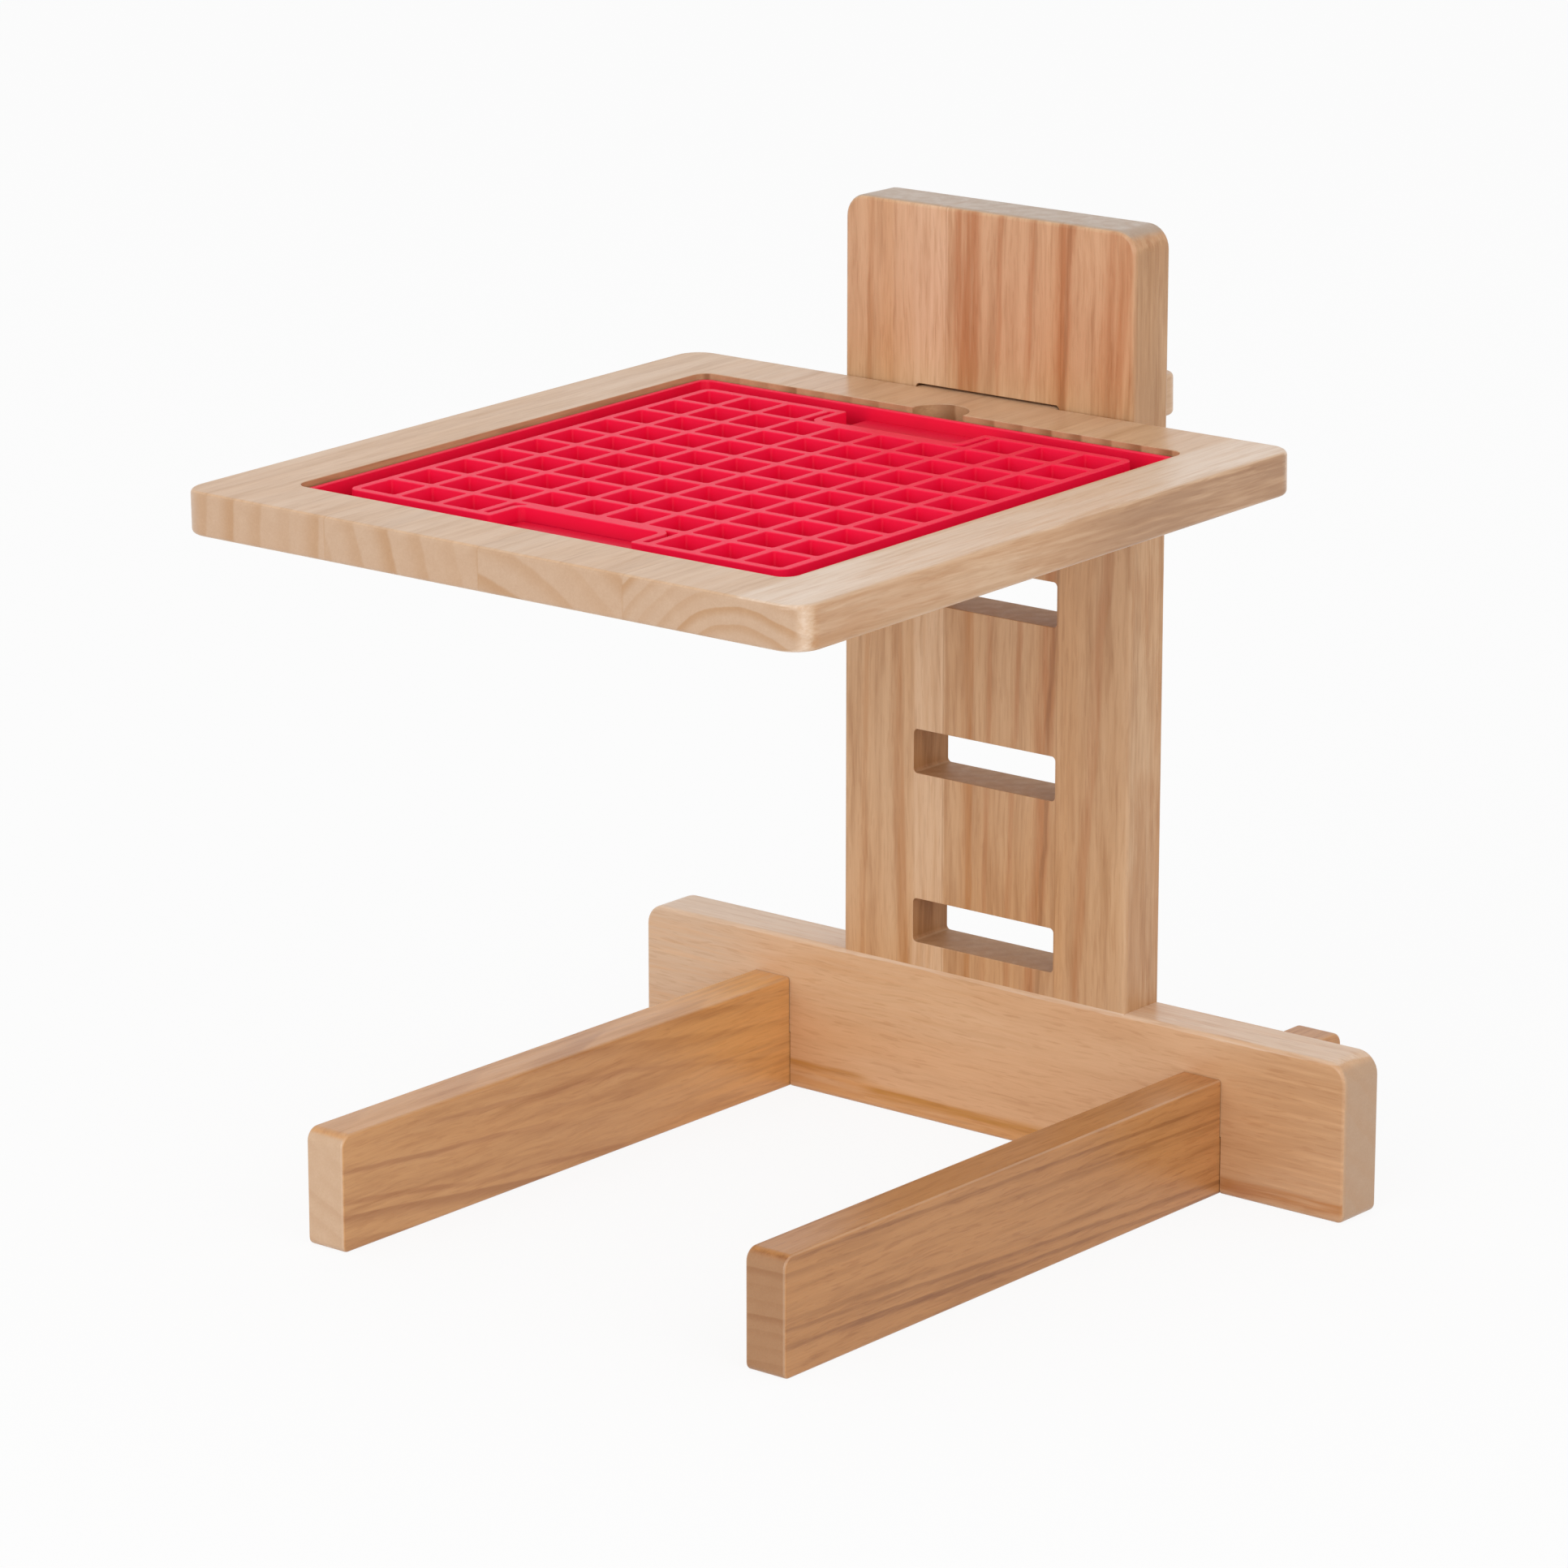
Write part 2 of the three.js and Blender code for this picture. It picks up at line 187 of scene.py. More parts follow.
def outline(corners, inset=0.0, steps=ARC_STEPS):
    """Points round an anticlockwise outline of corners (x, y, radius), moved inwards by inset."""
    points = []
    for i, (x, y, radius) in enumerate(corners):
        here = Vector((x, y))
        before = Vector(corners[i - 1][:2])
        after = Vector(corners[(i + 1) % len(corners)][:2])
        arrive = (here - before).normalized()
        leave = (after - here).normalized()
        turn = -arrive.angle_signed(leave)
        inward = Vector((-arrive.y, arrive.x)) + Vector((-leave.y, leave.x))
        corner = here + inward * inset / (1 + math.cos(turn))
        if radius == 0:
            points.append(corner)
            continue
        radius = max(radius - inset, 0) if turn > 0 else radius + inset
        tangent = radius * math.tan(abs(turn) / 2)
        start = corner - arrive * tangent
        side = 1 if turn > 0 else -1
        centre = start + side * radius * Vector((-arrive.y, arrive.x))
        for k in range(steps + 1):
            spoke = start - centre
            spoke.rotate(Matrix.Rotation(turn * k / steps, 2))
            points.append(centre + spoke)
    return points


def rectangle(x0, y0, x1, y1, upper, lower=None):
    """Corners of a rectangle, with one radius for its upper pair and one for its lower pair."""
    if lower is None:
        lower = upper
    return [(x0, y0, lower), (x1, y0, lower), (x1, y1, upper), (x0, y1, upper)]


def square(side, radius):
    """Corners of a square about the origin."""
    return rectangle(-side / 2, -side / 2, side / 2, side / 2, radius)


def round_over(radius, steps=ROUND_STEPS):
    """Quarter round as (inset, drop) pairs, from the flat face to the side."""
    angles = [math.pi / 2 * k / steps for k in range(steps + 1)]
    return [(radius * (1 - math.sin(a)), radius * (1 - math.cos(a))) for a in angles]


def fillet(radius, steps):
    """Quarter fillet as (inset, rise) pairs, from the wall to the floor."""
    angles = [math.pi / 2 * k / steps for k in range(steps + 1)]
    return [(radius * (1 - math.cos(a)), radius * (1 - math.sin(a))) for a in angles]


# ---- Meshes ----------------------------------------------------------------------------


class Skin:
    """A closed mesh laid up from rings of points at given heights."""

    def __init__(self):
        self.mesh = bmesh.new()

    def ring(self, points, height):
        """Vertices at the given points, all at one height."""
        return [self.mesh.verts.new((p[0], p[1], height)) for p in points]

    def walls(self, rings):
        """Faces between each ring and the next."""
        for low, high in zip(rings, rings[1:]):
            for i in range(len(low)):
                j = (i + 1) % len(low)
                self.mesh.faces.new((low[i], low[j], high[j], high[i]))

    def cap(self, *rings):
        """A flat face inside the first ring and outside the others."""
        verts = [v for ring in rings for v in ring]
        loops = [[v.co.copy() for v in ring] for ring in rings]
        for triangle in tessellate_polygon(loops):
            self.mesh.faces.new([verts[i] for i in triangle])

    def edge_round(self, shape, radius, flat, side, steps=ROUND_STEPS):
        """Rings that round an edge over: shape(inset) gives the points, from height flat to side."""
        direction = 1 if side > flat else -1
        return [self.ring(shape(inset), flat + direction * drop)
                for inset, drop in round_over(radius, steps)]

    def finish(self, name, place=Matrix.Identity(4)):
        """Welds and closes the mesh, and puts it in the scene as an object."""
        bmesh.ops.remove_doubles(self.mesh, verts=self.mesh.verts, dist=WELD)
        bmesh.ops.dissolve_degenerate(self.mesh, edges=self.mesh.edges, dist=WELD)
        bmesh.ops.recalc_face_normals(self.mesh, faces=self.mesh.faces)
        data = bpy.data.meshes.new(name)
        self.mesh.to_mesh(data)
        self.mesh.free()
        data.transform(place)
        return put(name, data)


def slab(name, corners, thickness, arris, holes=(), ease=0.0, place=Matrix.Identity(4)):
    """A board of an outline with rounded arrises and eased holes through it."""
    skin = Skin()

    def shape(inset):
        return outline(corners, inset)

    under = skin.edge_round(shape, arris, 0, thickness)
    over = skin.edge_round(shape, arris, thickness, 0)
    skin.walls(under + over[::-1])
    low, high = [under[0]], [over[0]]
    for hole in holes:
        def bore(inset, hole=hole):
            return outline(hole, -inset)
        below = skin.edge_round(bore, ease, 0, thickness, EASE_STEPS)
        above = skin.edge_round(bore, ease, thickness, 0, EASE_STEPS)
        skin.walls(below + above[::-1])
        low.append(below[0])
        high.append(above[0])
    skin.cap(*low)
    skin.cap(*high)
    return skin.finish(name, place)


def cutter(points, low, high):
    """A cutting prism along Z."""
    skin = Skin()
    rings = [skin.ring(points, z) for z in (low, high)]
    skin.walls(rings)
    for ring in rings:
        skin.cap(ring)
    return skin.finish("cutter")


def block(low, high):
    """A cutting block between two corners."""
    return cutter(outline(rectangle(low[0], low[1], high[0], high[1], 0)), low[2], high[2])


def drill(centre, radius, length):
    """A cutting cylinder along Z."""
    turns = [2 * math.pi * k / DRILL_SIDES for k in range(DRILL_SIDES)]
    points = [(centre[0] + radius * math.cos(a), centre[1] + radius * math.sin(a)) for a in turns]
    return cutter(points, centre[2] - length / 2, centre[2] + length / 2)


def combine(piece, others, operation="DIFFERENCE"):
    """Cuts the others out of a piece, or joins them to it, and clears them away."""
    for other in others:
        step = piece.modifiers.new("joinery", "BOOLEAN")
        step.operation = operation
        step.solver = "EXACT"
        step.object = other
    bpy.context.view_layer.update()
    evaluated = piece.evaluated_get(bpy.context.evaluated_depsgraph_get())
    worked = bpy.data.meshes.new_from_object(evaluated)
    piece.modifiers.clear()
    piece.data = worked
    for other in others:
        bpy.data.objects.remove(other)
    return piece


def saw_off(piece, height):
    """Cuts a piece square at a height and closes the end."""
    mesh = bmesh.new()
    mesh.from_mesh(piece.data)
    geometry = mesh.verts[:] + mesh.edges[:] + mesh.faces[:]
    cut = bmesh.ops.bisect_plane(mesh, geom=geometry, plane_co=(0, 0, height), plane_no=(0, 0, 1),
                                 clear_inner=True)
    rim = [e for e in cut["geom_cut"] if isinstance(e, bmesh.types.BMEdge)]
    bmesh.ops.edgenet_fill(mesh, edges=rim)
    bmesh.ops.recalc_face_normals(mesh, faces=mesh.faces)
    mesh.to_mesh(piece.data)
    mesh.free()
    return piece


def dress(piece, body, slot_name, material, *nodes):
    """Shades a finished piece, gives it its material and puts it in place of its CAD nodes."""
    data = piece.data
    data.materials.clear()
    data.materials.append(material)
    data.shade_smooth()
    data.set_sharp_from_angle(angle=math.radians(CREASE))
    shading = piece.modifiers.new("face weighted shading", "WEIGHTED_NORMAL")
    shading.keep_sharp = True
    shading.weight = 100
    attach(piece, body)
    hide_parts(*nodes)
    return piece


# ---- Node helpers ----------------------------------------------------------------------


def add(tree, kind, inputs=None, **settings):
    """Adds a node, sets its properties, and joins or sets its inputs."""
    made = tree.nodes.new(kind)
    for name, value in settings.items():
        setattr(made, name, value)
    for key, value in (inputs or {}).items():
        if isinstance(value, bpy.types.NodeSocket):
            tree.links.new(value, made.inputs[key])
        else:
            made.inputs[key].default_value = value
    return made


def maths(tree, operation, *values):
    """A sum on numbers."""
    return add(tree, "ShaderNodeMath", dict(enumerate(values)), operation=operation).outputs[0]


def vector_maths(tree, operation, *values):
    """A sum on vectors."""
    made = add(tree, "ShaderNodeVectorMath", dict(enumerate(values)), operation=operation)
    return made.outputs[1 if operation in ("LENGTH", "DOT_PRODUCT") else 0]


def scaled(tree, vector, factor):
    """A vector times a number that comes from another node."""
    made = vector_maths(tree, "SCALE", vector)
    tree.links.new(factor, made.node.inputs["Scale"])
    return made


def centred(tree, vector):
    """A noise vector moved to lie about zero."""
    return vector_maths(tree, "SUBTRACT", vector, (0.5, 0.5, 0.5))


def ramp(tree, value, low, high, to_low=0.0, to_high=1.0):
    """Maps low..high smoothly to to_low..to_high."""
    made = add(tree, "ShaderNodeMapRange", {0: value, 1: low, 2: high, 3: to_low, 4: to_high},
               interpolation_type="SMOOTHSTEP")
    return made.outputs[0]


def blend(tree, share, below, above, mode="MIX"):
    """Mixes two colours."""
    made = add(tree, "ShaderNodeMix", {0: share, 6: below, 7: above}, data_type="RGBA", blend_type=mode)
    return made.outputs[2]


def noise(tree, vector, scale, detail=2.0, roughness=0.5, output=0):
    """Smooth noise: output 0 is a number and output 1 a vector, each about 0.5."""
    made = add(tree, "ShaderNodeTexNoise", {"Vector": vector, "Scale": scale, "Detail": detail,
                                            "Roughness": roughness})
    return made.outputs[output]


def stretched(tree, vector, along, across, depth):
    """A board vector scaled by how fine a pattern is in each direction."""
    return vector_maths(tree, "MULTIPLY", vector, (along, across, depth))


def new_group(name, inputs, outputs):
    """An empty shader node group with named sockets, and its input sockets by name."""
    tree = bpy.data.node_groups.new(name, "ShaderNodeTree")
    kinds = {"value": "NodeSocketFloat", "vector": "NodeSocketVector", "colour": "NodeSocketColor"}
    for socket, kind, default in inputs:
        made = tree.interface.new_socket(socket, in_out="INPUT", socket_type=kinds[kind])
        made.default_value = default
    for socket, kind in outputs:
        tree.interface.new_socket(socket, in_out="OUTPUT", socket_type=kinds[kind])
    given = tree.nodes.new("NodeGroupInput")
    result = tree.nodes.new("NodeGroupOutput")
    return tree, given.outputs, result


def give(tree, result, **outputs):
    """Joins a group's results to its named outputs."""
    for name, socket in outputs.items():
        tree.links.new(socket, result.inputs[name.replace("_", " ")])


def place(tree, group, **inputs):
    """Places a node group in a material and returns its outputs."""
    made = tree.nodes.new("ShaderNodeGroup")
    made.node_tree = group
    for name, value in inputs.items():
        socket = made.inputs[name.replace("_", " ")]
        if isinstance(value, bpy.types.NodeSocket):
            tree.links.new(value, socket)
        else:
            socket.default_value = value
    return made.outputs


def paint(red, green, blue):
    """A colour from its everyday 0-255 values."""
    shares = [value / 255 for value in (red, green, blue)]
    return (*[s / 12.92 if s <= 0.04045 else ((s + 0.055) / 1.055) ** 2.4 for s in shares], 1.0)


# ---- Shader groups ---------------------------------------------------------------------

RIPPLE_SHARE = 0.28
FIBRE_BEND = 0.005
STREAK_SPREAD = 977.0
STREAK_RAG = 0.0012


def growth_rings():
    """Rings round a pith, sawn through by the board: the dark late wood of each year."""
    tree, given, result = new_group(
        "growth rings",
        [("Board", "vector", (0, 0, 0)), ("Pith", "vector", (0, 0, 0)), ("Ring Width", "value", 0.006),
         ("Lean", "value", 0.0), ("Wander", "value", 0.003), ("Seed", "value", 0.0)],
        [("Late Wood", "value")])
    apart = scaled(tree, (13.7, 7.1, 3.3), given["Seed"])

    def waviness(stretch_along, stretch_across, detail, size):
        vector = stretched(tree, given["Board"], stretch_along, stretch_across, stretch_across)
        wave = noise(tree, vector_maths(tree, "ADD", vector, apart), 1.0, detail, output=1)
        return scaled(tree, centred(tree, wave), size)

    bend = waviness(3.2, 26, 1.5, given["Wander"])
    ripple = waviness(21, 150, 2.0, maths(tree, "MULTIPLY", given["Wander"], RIPPLE_SHARE))
    along = add(tree, "ShaderNodeSeparateXYZ", {0: given["Board"]}).outputs[0]
    leaning = add(tree, "ShaderNodeCombineXYZ", {1: maths(tree, "MULTIPLY", along, given["Lean"])})
    grown = vector_maths(tree, "ADD", given["Board"], leaning.outputs[0])
    grown = vector_maths(tree, "ADD", vector_maths(tree, "ADD", grown, bend), ripple)
    spoke = vector_maths(tree, "SUBTRACT", grown, given["Pith"])
    spoke = vector_maths(tree, "MULTIPLY", spoke, (0, 1, 1))
    count = maths(tree, "DIVIDE", vector_maths(tree, "LENGTH", spoke), given["Ring Width"])
    share = maths(tree, "FRACT", count)
    late = maths(tree, "MULTIPLY", ramp(tree, share, 0.30, 0.86), ramp(tree, share, 0.90, 1.0, 1.0, 0.0))
    whole = maths(tree, "ADD", maths(tree, "FLOOR", count), given["Seed"])
    year = add(tree, "ShaderNodeTexWhiteNoise", {"W": whole}, noise_dimensions="1D").outputs[0]
    give(tree, result, Late_Wood=maths(tree, "MULTIPLY", late, ramp(tree, year, 0.0, 1.0, 0.25, 1.0)))
    return tree


def wood_fibre():
    """Fibres, streaks, lines, short dashes, open pores and slow changes of tone along a board."""
    tree, given, result = new_group(
        "wood fibre", [("Board", "vector", (0, 0, 0)), ("Seed", "value", 0.0)],
        [("Fibre", "value"), ("Streak", "value"), ("Line", "value"), ("Dash", "value"),
         ("Pores", "value"), ("Tone", "value"), ("Fade", "value")])
    apart = scaled(tree, (5.9, 11.3, 17.9), given["Seed"])
    bend_place = vector_maths(tree, "ADD", stretched(tree, given["Board"], 17, 45, 45), apart)
    bend = centred(tree, noise(tree, bend_place, 1.0, 2.0, 0.6, output=1))
    bend = vector_maths(tree, "MULTIPLY", bend, (0.0, FIBRE_BEND, FIBRE_BEND))
    wavy = vector_maths(tree, "ADD", given["Board"], bend)

    def layer(along, across, detail, roughness):
        moved = vector_maths(tree, "ADD", stretched(tree, wavy, along, across, across), apart)
        return noise(tree, moved, 1.0, detail, roughness)

    give(tree, result, Fibre=layer(42, 1500, 2.0, 0.6), Streak=layer(16, 240, 3.5, 0.62),
         Line=ramp(tree, layer(26, 520, 2.5, 0.55), 0.52, 0.70),
         Dash=ramp(tree, layer(85, 950, 1.5, 0.5), 0.57, 0.66),
         Pores=ramp(tree, layer(150, 2100, 1.0, 0.5), 0.60, 0.70), Tone=layer(5.5, 32, 2.0, 0.5),
         Fade=ramp(tree, layer(16, 75, 2.0, 0.5), 0.34, 0.62))
    return tree


def heart_streak():
    """One streak along a board: its core, a soft edge each side, and fading ends."""
    tree, given, result = new_group(
        "heart streak",
        [("Board", "vector", (0, 0, 0)), ("Fibre", "value", 0.5), ("Centre", "value", 0.0),
         ("Lean", "value", 0.0), ("Core", "value", 0.001), ("Low Edge", "value", 0.002),
         ("High Edge", "value", 0.001), ("Start", "value", -1.0), ("End", "value", 1.0),
         ("Fade", "value", 0.03), ("Waver", "value", 0.003)],
        [("Mask", "value")])
    parts = add(tree, "ShaderNodeSeparateXYZ", {0: given["Board"]}).outputs
    apart = add(tree, "ShaderNodeCombineXYZ", {1: maths(tree, "MULTIPLY", given["Centre"], STREAK_SPREAD)})

    def layer(along, across, detail):
        moved = vector_maths(tree, "ADD", stretched(tree, given["Board"], along, across, across),
                             apart.outputs[0])
        return noise(tree, moved, 1.0, detail, 0.6)

    bend = maths(tree, "MULTIPLY", maths(tree, "SUBTRACT", layer(13, 26, 3.0), 0.5), given["Waver"])
    ragged = maths(tree, "MULTIPLY", maths(tree, "SUBTRACT", given["Fibre"], 0.5), STREAK_RAG)
    centre = maths(tree, "ADD", maths(tree, "MULTIPLY", parts[0], given["Lean"]), given["Centre"])
    wavering = maths(tree, "ADD", parts[1], maths(tree, "ADD", bend, ragged))
    away = maths(tree, "SUBTRACT", wavering, centre)
    half = maths(tree, "MULTIPLY", given["Core"], 0.5)
    below = maths(tree, "MULTIPLY", maths(tree, "ADD", half, given["Low Edge"]), -1.0)
    low = ramp(tree, away, below, maths(tree, "MULTIPLY", half, -1.0))
    high = ramp(tree, away, half, maths(tree, "ADD", half, given["High Edge"]), 1.0, 0.0)
    begun = ramp(tree, maths(tree, "SUBTRACT", parts[0], given["Start"]), 0.0, given["Fade"])
    ended = ramp(tree, maths(tree, "SUBTRACT", given["End"], parts[0]), 0.0, given["Fade"])
    uneven = ramp(tree, layer(24, 420, 2.0), 0.28, 0.60, 0.35, 1.0)
    sides = maths(tree, "MULTIPLY", low, high)
    mask = maths(tree, "MULTIPLY", sides, maths(tree, "MULTIPLY", begun, ended))
    give(tree, result, Mask=maths(tree, "MULTIPLY", mask, uneven))
    return tree


def moulded_skin():
    """The fine texture and slight unevenness of a moulded surface."""
    tree, given, result = new_group(
        "moulded skin",
        [("Place", "vector", (0, 0, 0)), ("Grain", "value", 2500.0), ("Seed", "value", 0.0)],
        [("Texture", "value"), ("Cloud", "value")])
    apart = scaled(tree, (3.1, 9.7, 1.3), given["Seed"])
    moved = vector_maths(tree, "ADD", given["Place"], apart)
    texture = add(tree, "ShaderNodeTexNoise", {"Vector": moved, "Scale": given["Grain"], "Detail": 2.0})
    give(tree, result, Texture=texture.outputs[0], Cloud=noise(tree, moved, 55.0, 3.0, 0.55))
    return tree


RINGS = growth_rings()
FIBRE = wood_fibre()
STREAK = heart_streak()
MOULDED = moulded_skin()

# ---- Materials -------------------------------------------------------------------------

HONEY = paint(178, 116, 58)
BROWN = paint(132, 84, 44)
UMBER = paint(118, 62, 20)
RUSSET = paint(160, 98, 54)
AMBER = paint(186, 126, 46)
RUST = paint(178, 116, 68)
PALE = paint(220, 184, 148)
# Pale for painted sheen on tops, and for arrises: partly sanding wear, partly a painted highlight.
PAINTED_SHEEN_AND_WEAR = paint(226, 198, 172)
# Painted shade: the dark red that the mat is mixed towards low down, where shade falls in its pockets.
POCKET_SHADE_COLOUR = paint(140, 0, 22)

PORE_SHADE = 0.12
GLUE_SHADE = 0.35
GLUE_LINE = (0.00005, 0.0004)
# How strongly the painted shade darkens the mat at its floor.
PAINTED_POCKET_SHADE = 0.38
# Shade is deeper in blue than in red, as wood darkens.
SHADE_POWERS = (0.75, 1.15, 1.55)
# Strength and depth of the relief.
GRAIN_RELIEF = (0.2, 0.0001)
MOULDED_RELIEF = (0.15, 0.00005)


def empty_tree(owner):
    """The node tree of a material or a world, emptied."""
    owner.use_nodes = True
    owner.node_tree.nodes.clear()
    return owner.node_tree


def new_material(name):
    """A material with its tree and its shader."""
    material = bpy.data.materials.new(name)
    tree = empty_tree(material)
    surface = tree.nodes.new("ShaderNodeBsdfPrincipled")
    output = tree.nodes.new("ShaderNodeOutputMaterial")
    tree.links.new(surface.outputs[0], output.inputs[0])
    return material, tree, surface


def relief(tree, surface, height, strength_and_depth):
    """Bump on a surface."""
    strength, depth = strength_and_depth
    bump = add(tree, "ShaderNodeBump", {"Height": height, "Strength": strength, "Distance": depth})
    tree.links.new(bump.outputs[0], surface.inputs["Normal"])


def board_vector(tree, axes):
    """Object coordinates along, across and through a board, its end grain and its arrises."""
    where = tree.nodes.new("ShaderNodeTexCoord")
    parts = add(tree, "ShaderNodeSeparateXYZ", {0: where.outputs["Object"]}).outputs
    facing = add(tree, "ShaderNodeSeparateXYZ", {0: where.outputs["Normal"]}).outputs
    order = ["xyz".index(axis) for axis in axes]
    board = add(tree, "ShaderNodeCombineXYZ", {i: parts[k] for i, k in enumerate(order)}).outputs[0]
    end = ramp(tree, maths(tree, "ABSOLUTE", facing[order[0]]), 0.55, 0.85)
    flat = maths(tree, "ABSOLUTE", facing[order[2]])
    arris = maths(tree, "MULTIPLY", ramp(tree, flat, 0.10, 0.35), ramp(tree, flat, 0.75, 0.97, 1.0, 0.0))
    return board, end, arris


def streak(at, lean, core, strength, colour, low=0.002, high=0.001, start=-1.0, end=1.0, fade=0.03,
           waver=0.004):
    """A streak in a board: where it crosses zero, how it leans, and how wide and strong it is."""
    shape = {"Centre": at, "Lean": lean, "Core": core, "Low_Edge": low, "High_Edge": high,
             "Start": start, "End": end, "Fade": fade, "Waver": waver}
    return shape, strength, colour


def stave_choice(tree, across, first, staves):
    """The pith, ring width and seed at each place across a glued board, and its glue lines."""
    centre, width, grown, glue = *first, None
    for edge, stave_pith, stave_width, stave_seed in staves:
        beyond = maths(tree, "GREATER_THAN", across, edge)
        chosen = add(tree, "ShaderNodeMix", {0: beyond, 4: centre, 5: stave_pith}, data_type="VECTOR")
        centre = chosen.outputs[1]
        width = add(tree, "ShaderNodeMix", {0: beyond, 2: width, 3: stave_width}).outputs[0]
        grown = add(tree, "ShaderNodeMix", {0: beyond, 2: grown, 3: stave_seed}).outputs[0]
        away = maths(tree, "ABSOLUTE", maths(tree, "SUBTRACT", across, edge))
        line = ramp(tree, away, *GLUE_LINE, 1.0, 0.0)
        glue = line if glue is None else maths(tree, "MAXIMUM", glue, line)
    return centre, width, grown, glue


def grain_tint(tree, fibre, dash, mottle):
    """What the wood's colour is multiplied by, for its fibres, streaks and dashes."""
    fine = ramp(tree, fibre["Fibre"], 0.2, 0.8, 1.03, 0.96)
    coarse = ramp(tree, fibre["Streak"], 0.22, 0.60, 1.0 + 0.14 * mottle, 1.0 - 0.06 * mottle)
    shade = maths(tree, "MULTIPLY", fine, coarse)
    shade = maths(tree, "MULTIPLY", shade, maths(tree, "SUBTRACT", 1.0, dash))
    powers = [maths(tree, "POWER", shade, power) for power in SHADE_POWERS]
    return add(tree, "ShaderNodeCombineXYZ", dict(enumerate(powers))).outputs[0]


def oiled(tree, surface, fibre, colour, gloss, sheen):
    """Gives a surface the wood's colour, the gloss of thin oil and the relief of its fibres."""
    surface.inputs["Specular IOR Level"].default_value = sheen
    tree.links.new(colour, surface.inputs["Base Color"])
    roughness = ramp(tree, fibre["Streak"], 0.3, 0.7, gloss - 0.04, gloss + 0.06)
    tree.links.new(roughness, surface.inputs["Roughness"])
    height = maths(tree, "SUBTRACT", maths(tree, "MULTIPLY", fibre["Fibre"], 0.5), fibre["Pores"])
    relief(tree, surface, height, GRAIN_RELIEF)


def timber(name, axes, light, dark, warm, end, pith, ring_width, lean=0.0, wander=0.003, seed=0.0,
           rings=0.5, mottle=0.4, lines=0.3, dashes=0.08, warm_share=0.4, end_share=0.6, end_rings=1.0,
           gloss=0.32, sheen=0.5, wear_and_highlight=0.2, staves=(), streaks=()):
    """Sanded, lightly oiled wood. axes names the board's axes along, across and through it.

    pith, ring_width and seed are the first stave's. staves holds (edge, pith, ring width, seed) of the
    others, from the low side up. gloss is a roughness, and wear_and_highlight is how pale the arrises are
    painted, partly for sanding wear and partly as a painted highlight.
    """
    material, tree, surface = new_material(name)
    board, end_grain, arris = board_vector(tree, axes)
    across = add(tree, "ShaderNodeSeparateXYZ", {0: board}).outputs[1]
    centre, width, grown, glue = stave_choice(tree, across, (pith, ring_width, seed), staves)
    figure = place(tree, RINGS, Board=board, Pith=centre, Ring_Width=width, Lean=lean, Wander=wander,
                   Seed=grown)
    fibre = place(tree, FIBRE, Board=board, Seed=grown)
    long_grain = maths(tree, "SUBTRACT", 1.0, end_grain)

    def along(mask, strength):
        return maths(tree, "MULTIPLY", mask, maths(tree, "MULTIPLY", long_grain, strength))

    long_rings = ramp(tree, fibre["Fade"], 0.0, 1.0, 0.3 * rings, rings)
    share = add(tree, "ShaderNodeMix", {0: end_grain, 2: long_rings, 3: end_rings}).outputs[0]
    colour = blend(tree, ramp(tree, fibre["Tone"], 0.40, 0.64, 0.0, warm_share), light, warm)
    colour = blend(tree, maths(tree, "MULTIPLY", end_grain, end_share), colour, end)
    colour = blend(tree, maths(tree, "MULTIPLY", figure["Late Wood"], share), colour, dark)
    colour = blend(tree, along(ramp(tree, fibre["Streak"], 0.48, 0.70), mottle), colour, dark)
    for shape, strength, streak_colour in streaks:
        mask = place(tree, STREAK, Board=board, Fibre=fibre["Fibre"], **shape)["Mask"]
        colour = blend(tree, along(mask, strength), colour, streak_colour)
    colour = blend(tree, along(fibre["Line"], lines), colour, dark)
    colour = blend(tree, along(fibre["Pores"], PORE_SHADE), colour, dark)
    if glue:
        colour = blend(tree, maths(tree, "MULTIPLY", glue, GLUE_SHADE), colour, dark)
    tint = grain_tint(tree, fibre, along(fibre["Dash"], dashes), mottle)
    colour = blend(tree, 1.0, colour, tint, "MULTIPLY")
    # Arrises painted paler: partly sanding wear, partly a painted highlight where the rounded edges catch
    # the light.
    colour = blend(tree, maths(tree, "MULTIPLY", arris, wear_and_highlight), colour, PAINTED_SHEEN_AND_WEAR)
    oiled(tree, surface, fibre, colour, gloss, sheen)
    return material


def moulded(name, colour, deep, roughness, sheen, grain, seed):
    """Moulded rubber or plastic, a little uneven in tone, with painted shade that darkens it low down in
    the mat.
    """
    material, tree, surface = new_material(name)
    where = tree.nodes.new("ShaderNodeTexCoord").outputs["Object"]
    skin = place(tree, MOULDED, Place=where, Grain=grain, Seed=seed)
    tone = blend(tree, ramp(tree, skin["Cloud"], 0.35, 0.70, 0.0, 0.5), colour, deep)
    # Painted shade: the colour darkens from the rim down to the floor of the dish and pockets, standing in
    # for shade there.
    upwards = MAT_PLACE.col[2].to_3d()
    height = vector_maths(tree, "DOT_PRODUCT", where, tuple(upwards))
    ground = MAT_PLACE.translation.dot(upwards) + DISH_FLOOR
    painted_shade = ramp(tree, height, ground, ground + PAD_HEIGHT, PAINTED_POCKET_SHADE, 0.0)
    tone = blend(tree, painted_shade, tone, POCKET_SHADE_COLOUR)
    tree.links.new(tone, surface.inputs["Base Color"])
    surface.inputs["Specular IOR Level"].default_value = sheen
    gloss = ramp(tree, skin["Texture"], 0.3, 0.7, roughness - 0.04, roughness + 0.04)
    tree.links.new(gloss, surface.inputs["Roughness"])
    relief(tree, surface, skin["Texture"], MOULDED_RELIEF)
    return material


